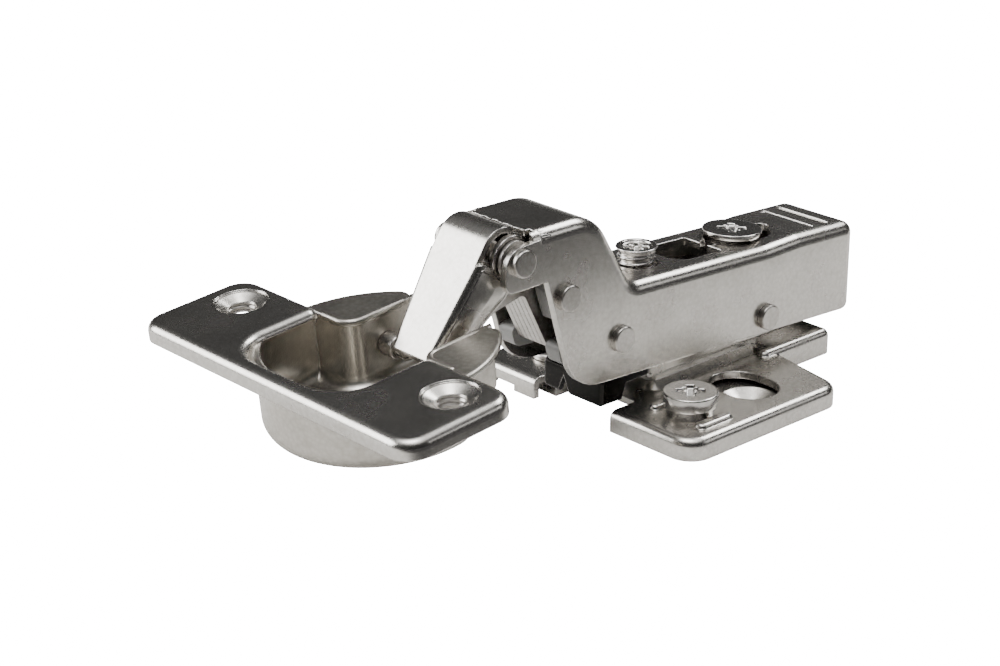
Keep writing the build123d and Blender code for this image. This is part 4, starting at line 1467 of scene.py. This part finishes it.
SOFT_BOXES = (
    SoftBox("left_box", (-0.85, 0.92, 0.60), (0.9, 0.8), 17.5),
    SoftBox("right_box", (1.00, 0.10, 1.10), (0.7, 0.35), 10.0),
    SoftBox("fill_box", (0.95, -1.05, 0.72), (0.5, 0.35), 1.2),
    SoftBox("top_box", (-0.2, 0.0, 1.4), (0.6, 0.6), 8.0),
)


@dataclass
class Studio:
    """Floor, surround, soft boxes and the camera.

    Attributes:
        place: where the camera stands.
        azimuth: the camera's heading, in radians from +Y.
        elevation: how far the camera looks down, in radians.
        roll: the camera's roll, in radians.
        lens: the focal length, in millimetres on a 36 mm wide sensor.
        floor_half: half the floor's side.
        shade_edge: where painted shade starts in front of the object, which only reflections see.
        shade_fade: half the width of its soft blend.
        paper: the paper's colour.
        front_shade_color: the colour of that painted shade.
        white: how bright the floor and the surround are to the camera.
        ceiling: how bright the surround is in reflections.
        room: heights from 0, straight down, to 1, straight up, and the grey that reflections find there.
        aim: the point that the soft boxes face.
    """

    place: Point = (-0.2561613, -0.2389552, 0.1480331)
    azimuth: float = -0.7352
    elevation: float = 0.3799
    roll: float = -0.0036
    lens: float = 81.8685
    floor_half: float = 3.0
    shade_edge: float = -0.0545
    shade_fade: float = 0.0125
    paper: Color = (0.86, 0.85, 0.83)
    front_shade_color: Color = (0.03, 0.03, 0.03)
    white: float = 22.0
    ceiling: float = 2.2
    room: tuple[tuple[float, float], ...] = (
        (0.5, 0.05), (0.56, 0.012), (0.82, 0.010), (0.90, 0.06), (0.96, 0.8), (1.0, 1.0),
    )
    aim: Point = (-0.03, 0.0, 0.02)

    def build(self) -> None:
        """Make the whole studio."""
        self._camera()
        self._floor()
        self._world()
        for box in SOFT_BOXES:
            box.hang(self.aim)

    def _camera(self) -> None:
        """Place the camera."""
        data = bpy.data.cameras.new("camera")
        data.sensor_width = 36.0
        data.lens = self.lens
        data.clip_start = 0.01
        data.clip_end = 50.0
        camera = bpy.data.objects.new("camera", data)
        bpy.context.scene.collection.objects.link(camera)
        turn = Matrix.Rotation(self.azimuth, 4, "Z") @ Matrix.Rotation(pi / 2 - self.elevation, 4, "X")
        camera.matrix_world = Matrix.Translation(self.place) @ turn @ Matrix.Rotation(self.roll, 4, "Z")
        bpy.context.scene.camera = camera

    def _white_to_camera(self, graph: NodeGraph, kind: str, lit: Socket) -> Socket:
        """White to the camera, and another shader to every other ray.

        Args:
            graph: the graph of the floor or of the surround.
            kind: the type name of the node that shines white.
            lit: the shader for the other rays.

        Returns:
            The mixed shader.
        """
        shine = graph.add(kind, {"Color": WHITE, "Strength": self.white})
        seen = graph.add("ShaderNodeLightPath").outputs["Is Camera Ray"]
        mix = graph.add("ShaderNodeMixShader", {"Fac": seen})
        graph.feed(mix.inputs[1], lit)
        graph.feed(mix.inputs[2], shine.outputs[0])
        return mix.outputs["Shader"]

    def _floor(self) -> None:
        """Lay pale paper under the plate, white to the camera, with painted shade in front of the object that
        only reflections see.
        """
        half = self.floor_half
        mesh = bpy.data.meshes.new("floor")
        outline = ((-half, -half), (half, -half), (half, half), (-half, half))
        mesh.from_pydata([(*corner, 0.0) for corner in outline], [], [range(4)])
        floor = bpy.data.objects.new("floor", mesh)
        bpy.context.scene.collection.objects.link(floor)
        material, graph, paper = new_material("floor_paper")
        paper.inputs["Roughness"].default_value = 0.9
        ends = {"From Min": self.shade_edge - self.shade_fade, "From Max": self.shade_edge + self.shade_fade}
        inputs = {"Value": graph.axes()["Y"], **ends}
        reach = graph.add("ShaderNodeMapRange", inputs, interpolation_type="SMOOTHSTEP").outputs["Result"]
        # Painted shade: to reflections the floor turns dark in front of the object.
        graph.feed(paper.inputs["Base Color"], graph.blend(self.front_shade_color, self.paper, reach))
        seen = self._white_to_camera(graph, "ShaderNodeEmission", paper.outputs["BSDF"])
        graph.feed(material.node_tree.nodes["Material Output"].inputs["Surface"], seen)
        mesh.materials.append(material)
        floor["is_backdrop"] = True

    def _world(self) -> None:
        """White surround for the eye, and for reflections a dark room under a bright ceiling."""
        world = bpy.data.worlds.new("studio")
        bpy.context.scene.world = world
        world.use_nodes = True
        world.node_tree.nodes.clear()
        graph = NodeGraph(world.node_tree)
        way = graph.add("ShaderNodeTexCoord").outputs["Generated"]
        up = graph.add("ShaderNodeSeparateXYZ", {"Vector": way}).outputs["Z"]
        height = graph.maths("ADD", graph.maths("MULTIPLY", up, 0.5), 0.5)
        ramp = graph.add("ShaderNodeValToRGB", {"Fac": height})
        stops = ramp.color_ramp.elements
        lowest, *middle, highest = self.room
        for stop, (place, grey) in zip(stops, (lowest, highest)):
            stop.position, stop.color = place, (grey, grey, grey, 1.0)
        for place, grey in middle:
            stops.new(place).color = (grey, grey, grey, 1.0)
        lit = graph.add("ShaderNodeBackground", {"Color": ramp.outputs["Color"], "Strength": self.ceiling})
        seen = self._white_to_camera(graph, "ShaderNodeBackground", lit.outputs["Background"])
        graph.add("ShaderNodeOutputWorld", {"Surface": seen})


# ---------------------------------------------------------------- main


def corners() -> list[list[float]]:
    """Lowest and highest corner of all that is shown, as plain lists."""
    low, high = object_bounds()
    return [[float(v) for v in low], [float(v) for v in high]]


def main() -> None:
    """Load the frame, dress it and light it."""
    logging.basicConfig(level=logging.INFO, format="%(name)s: %(message)s")
    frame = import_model()
    book = FinishBook()
    log.info("dressed %d nodes", book.dress(frame))
    high_overlay = float(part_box("overlay_screw")[1][2])
    for screw in (height_cam(), depth_cam(), overlay_stem(high_overlay)):
        screw.build(book)
    for details in (WingCollars(), PivotCollars(), CheekRolls(), NoseTrim(), FormedEars(), IndexDot()):
        details.build(book)
    Studio().build()


if __name__ == "__main__":
    main()
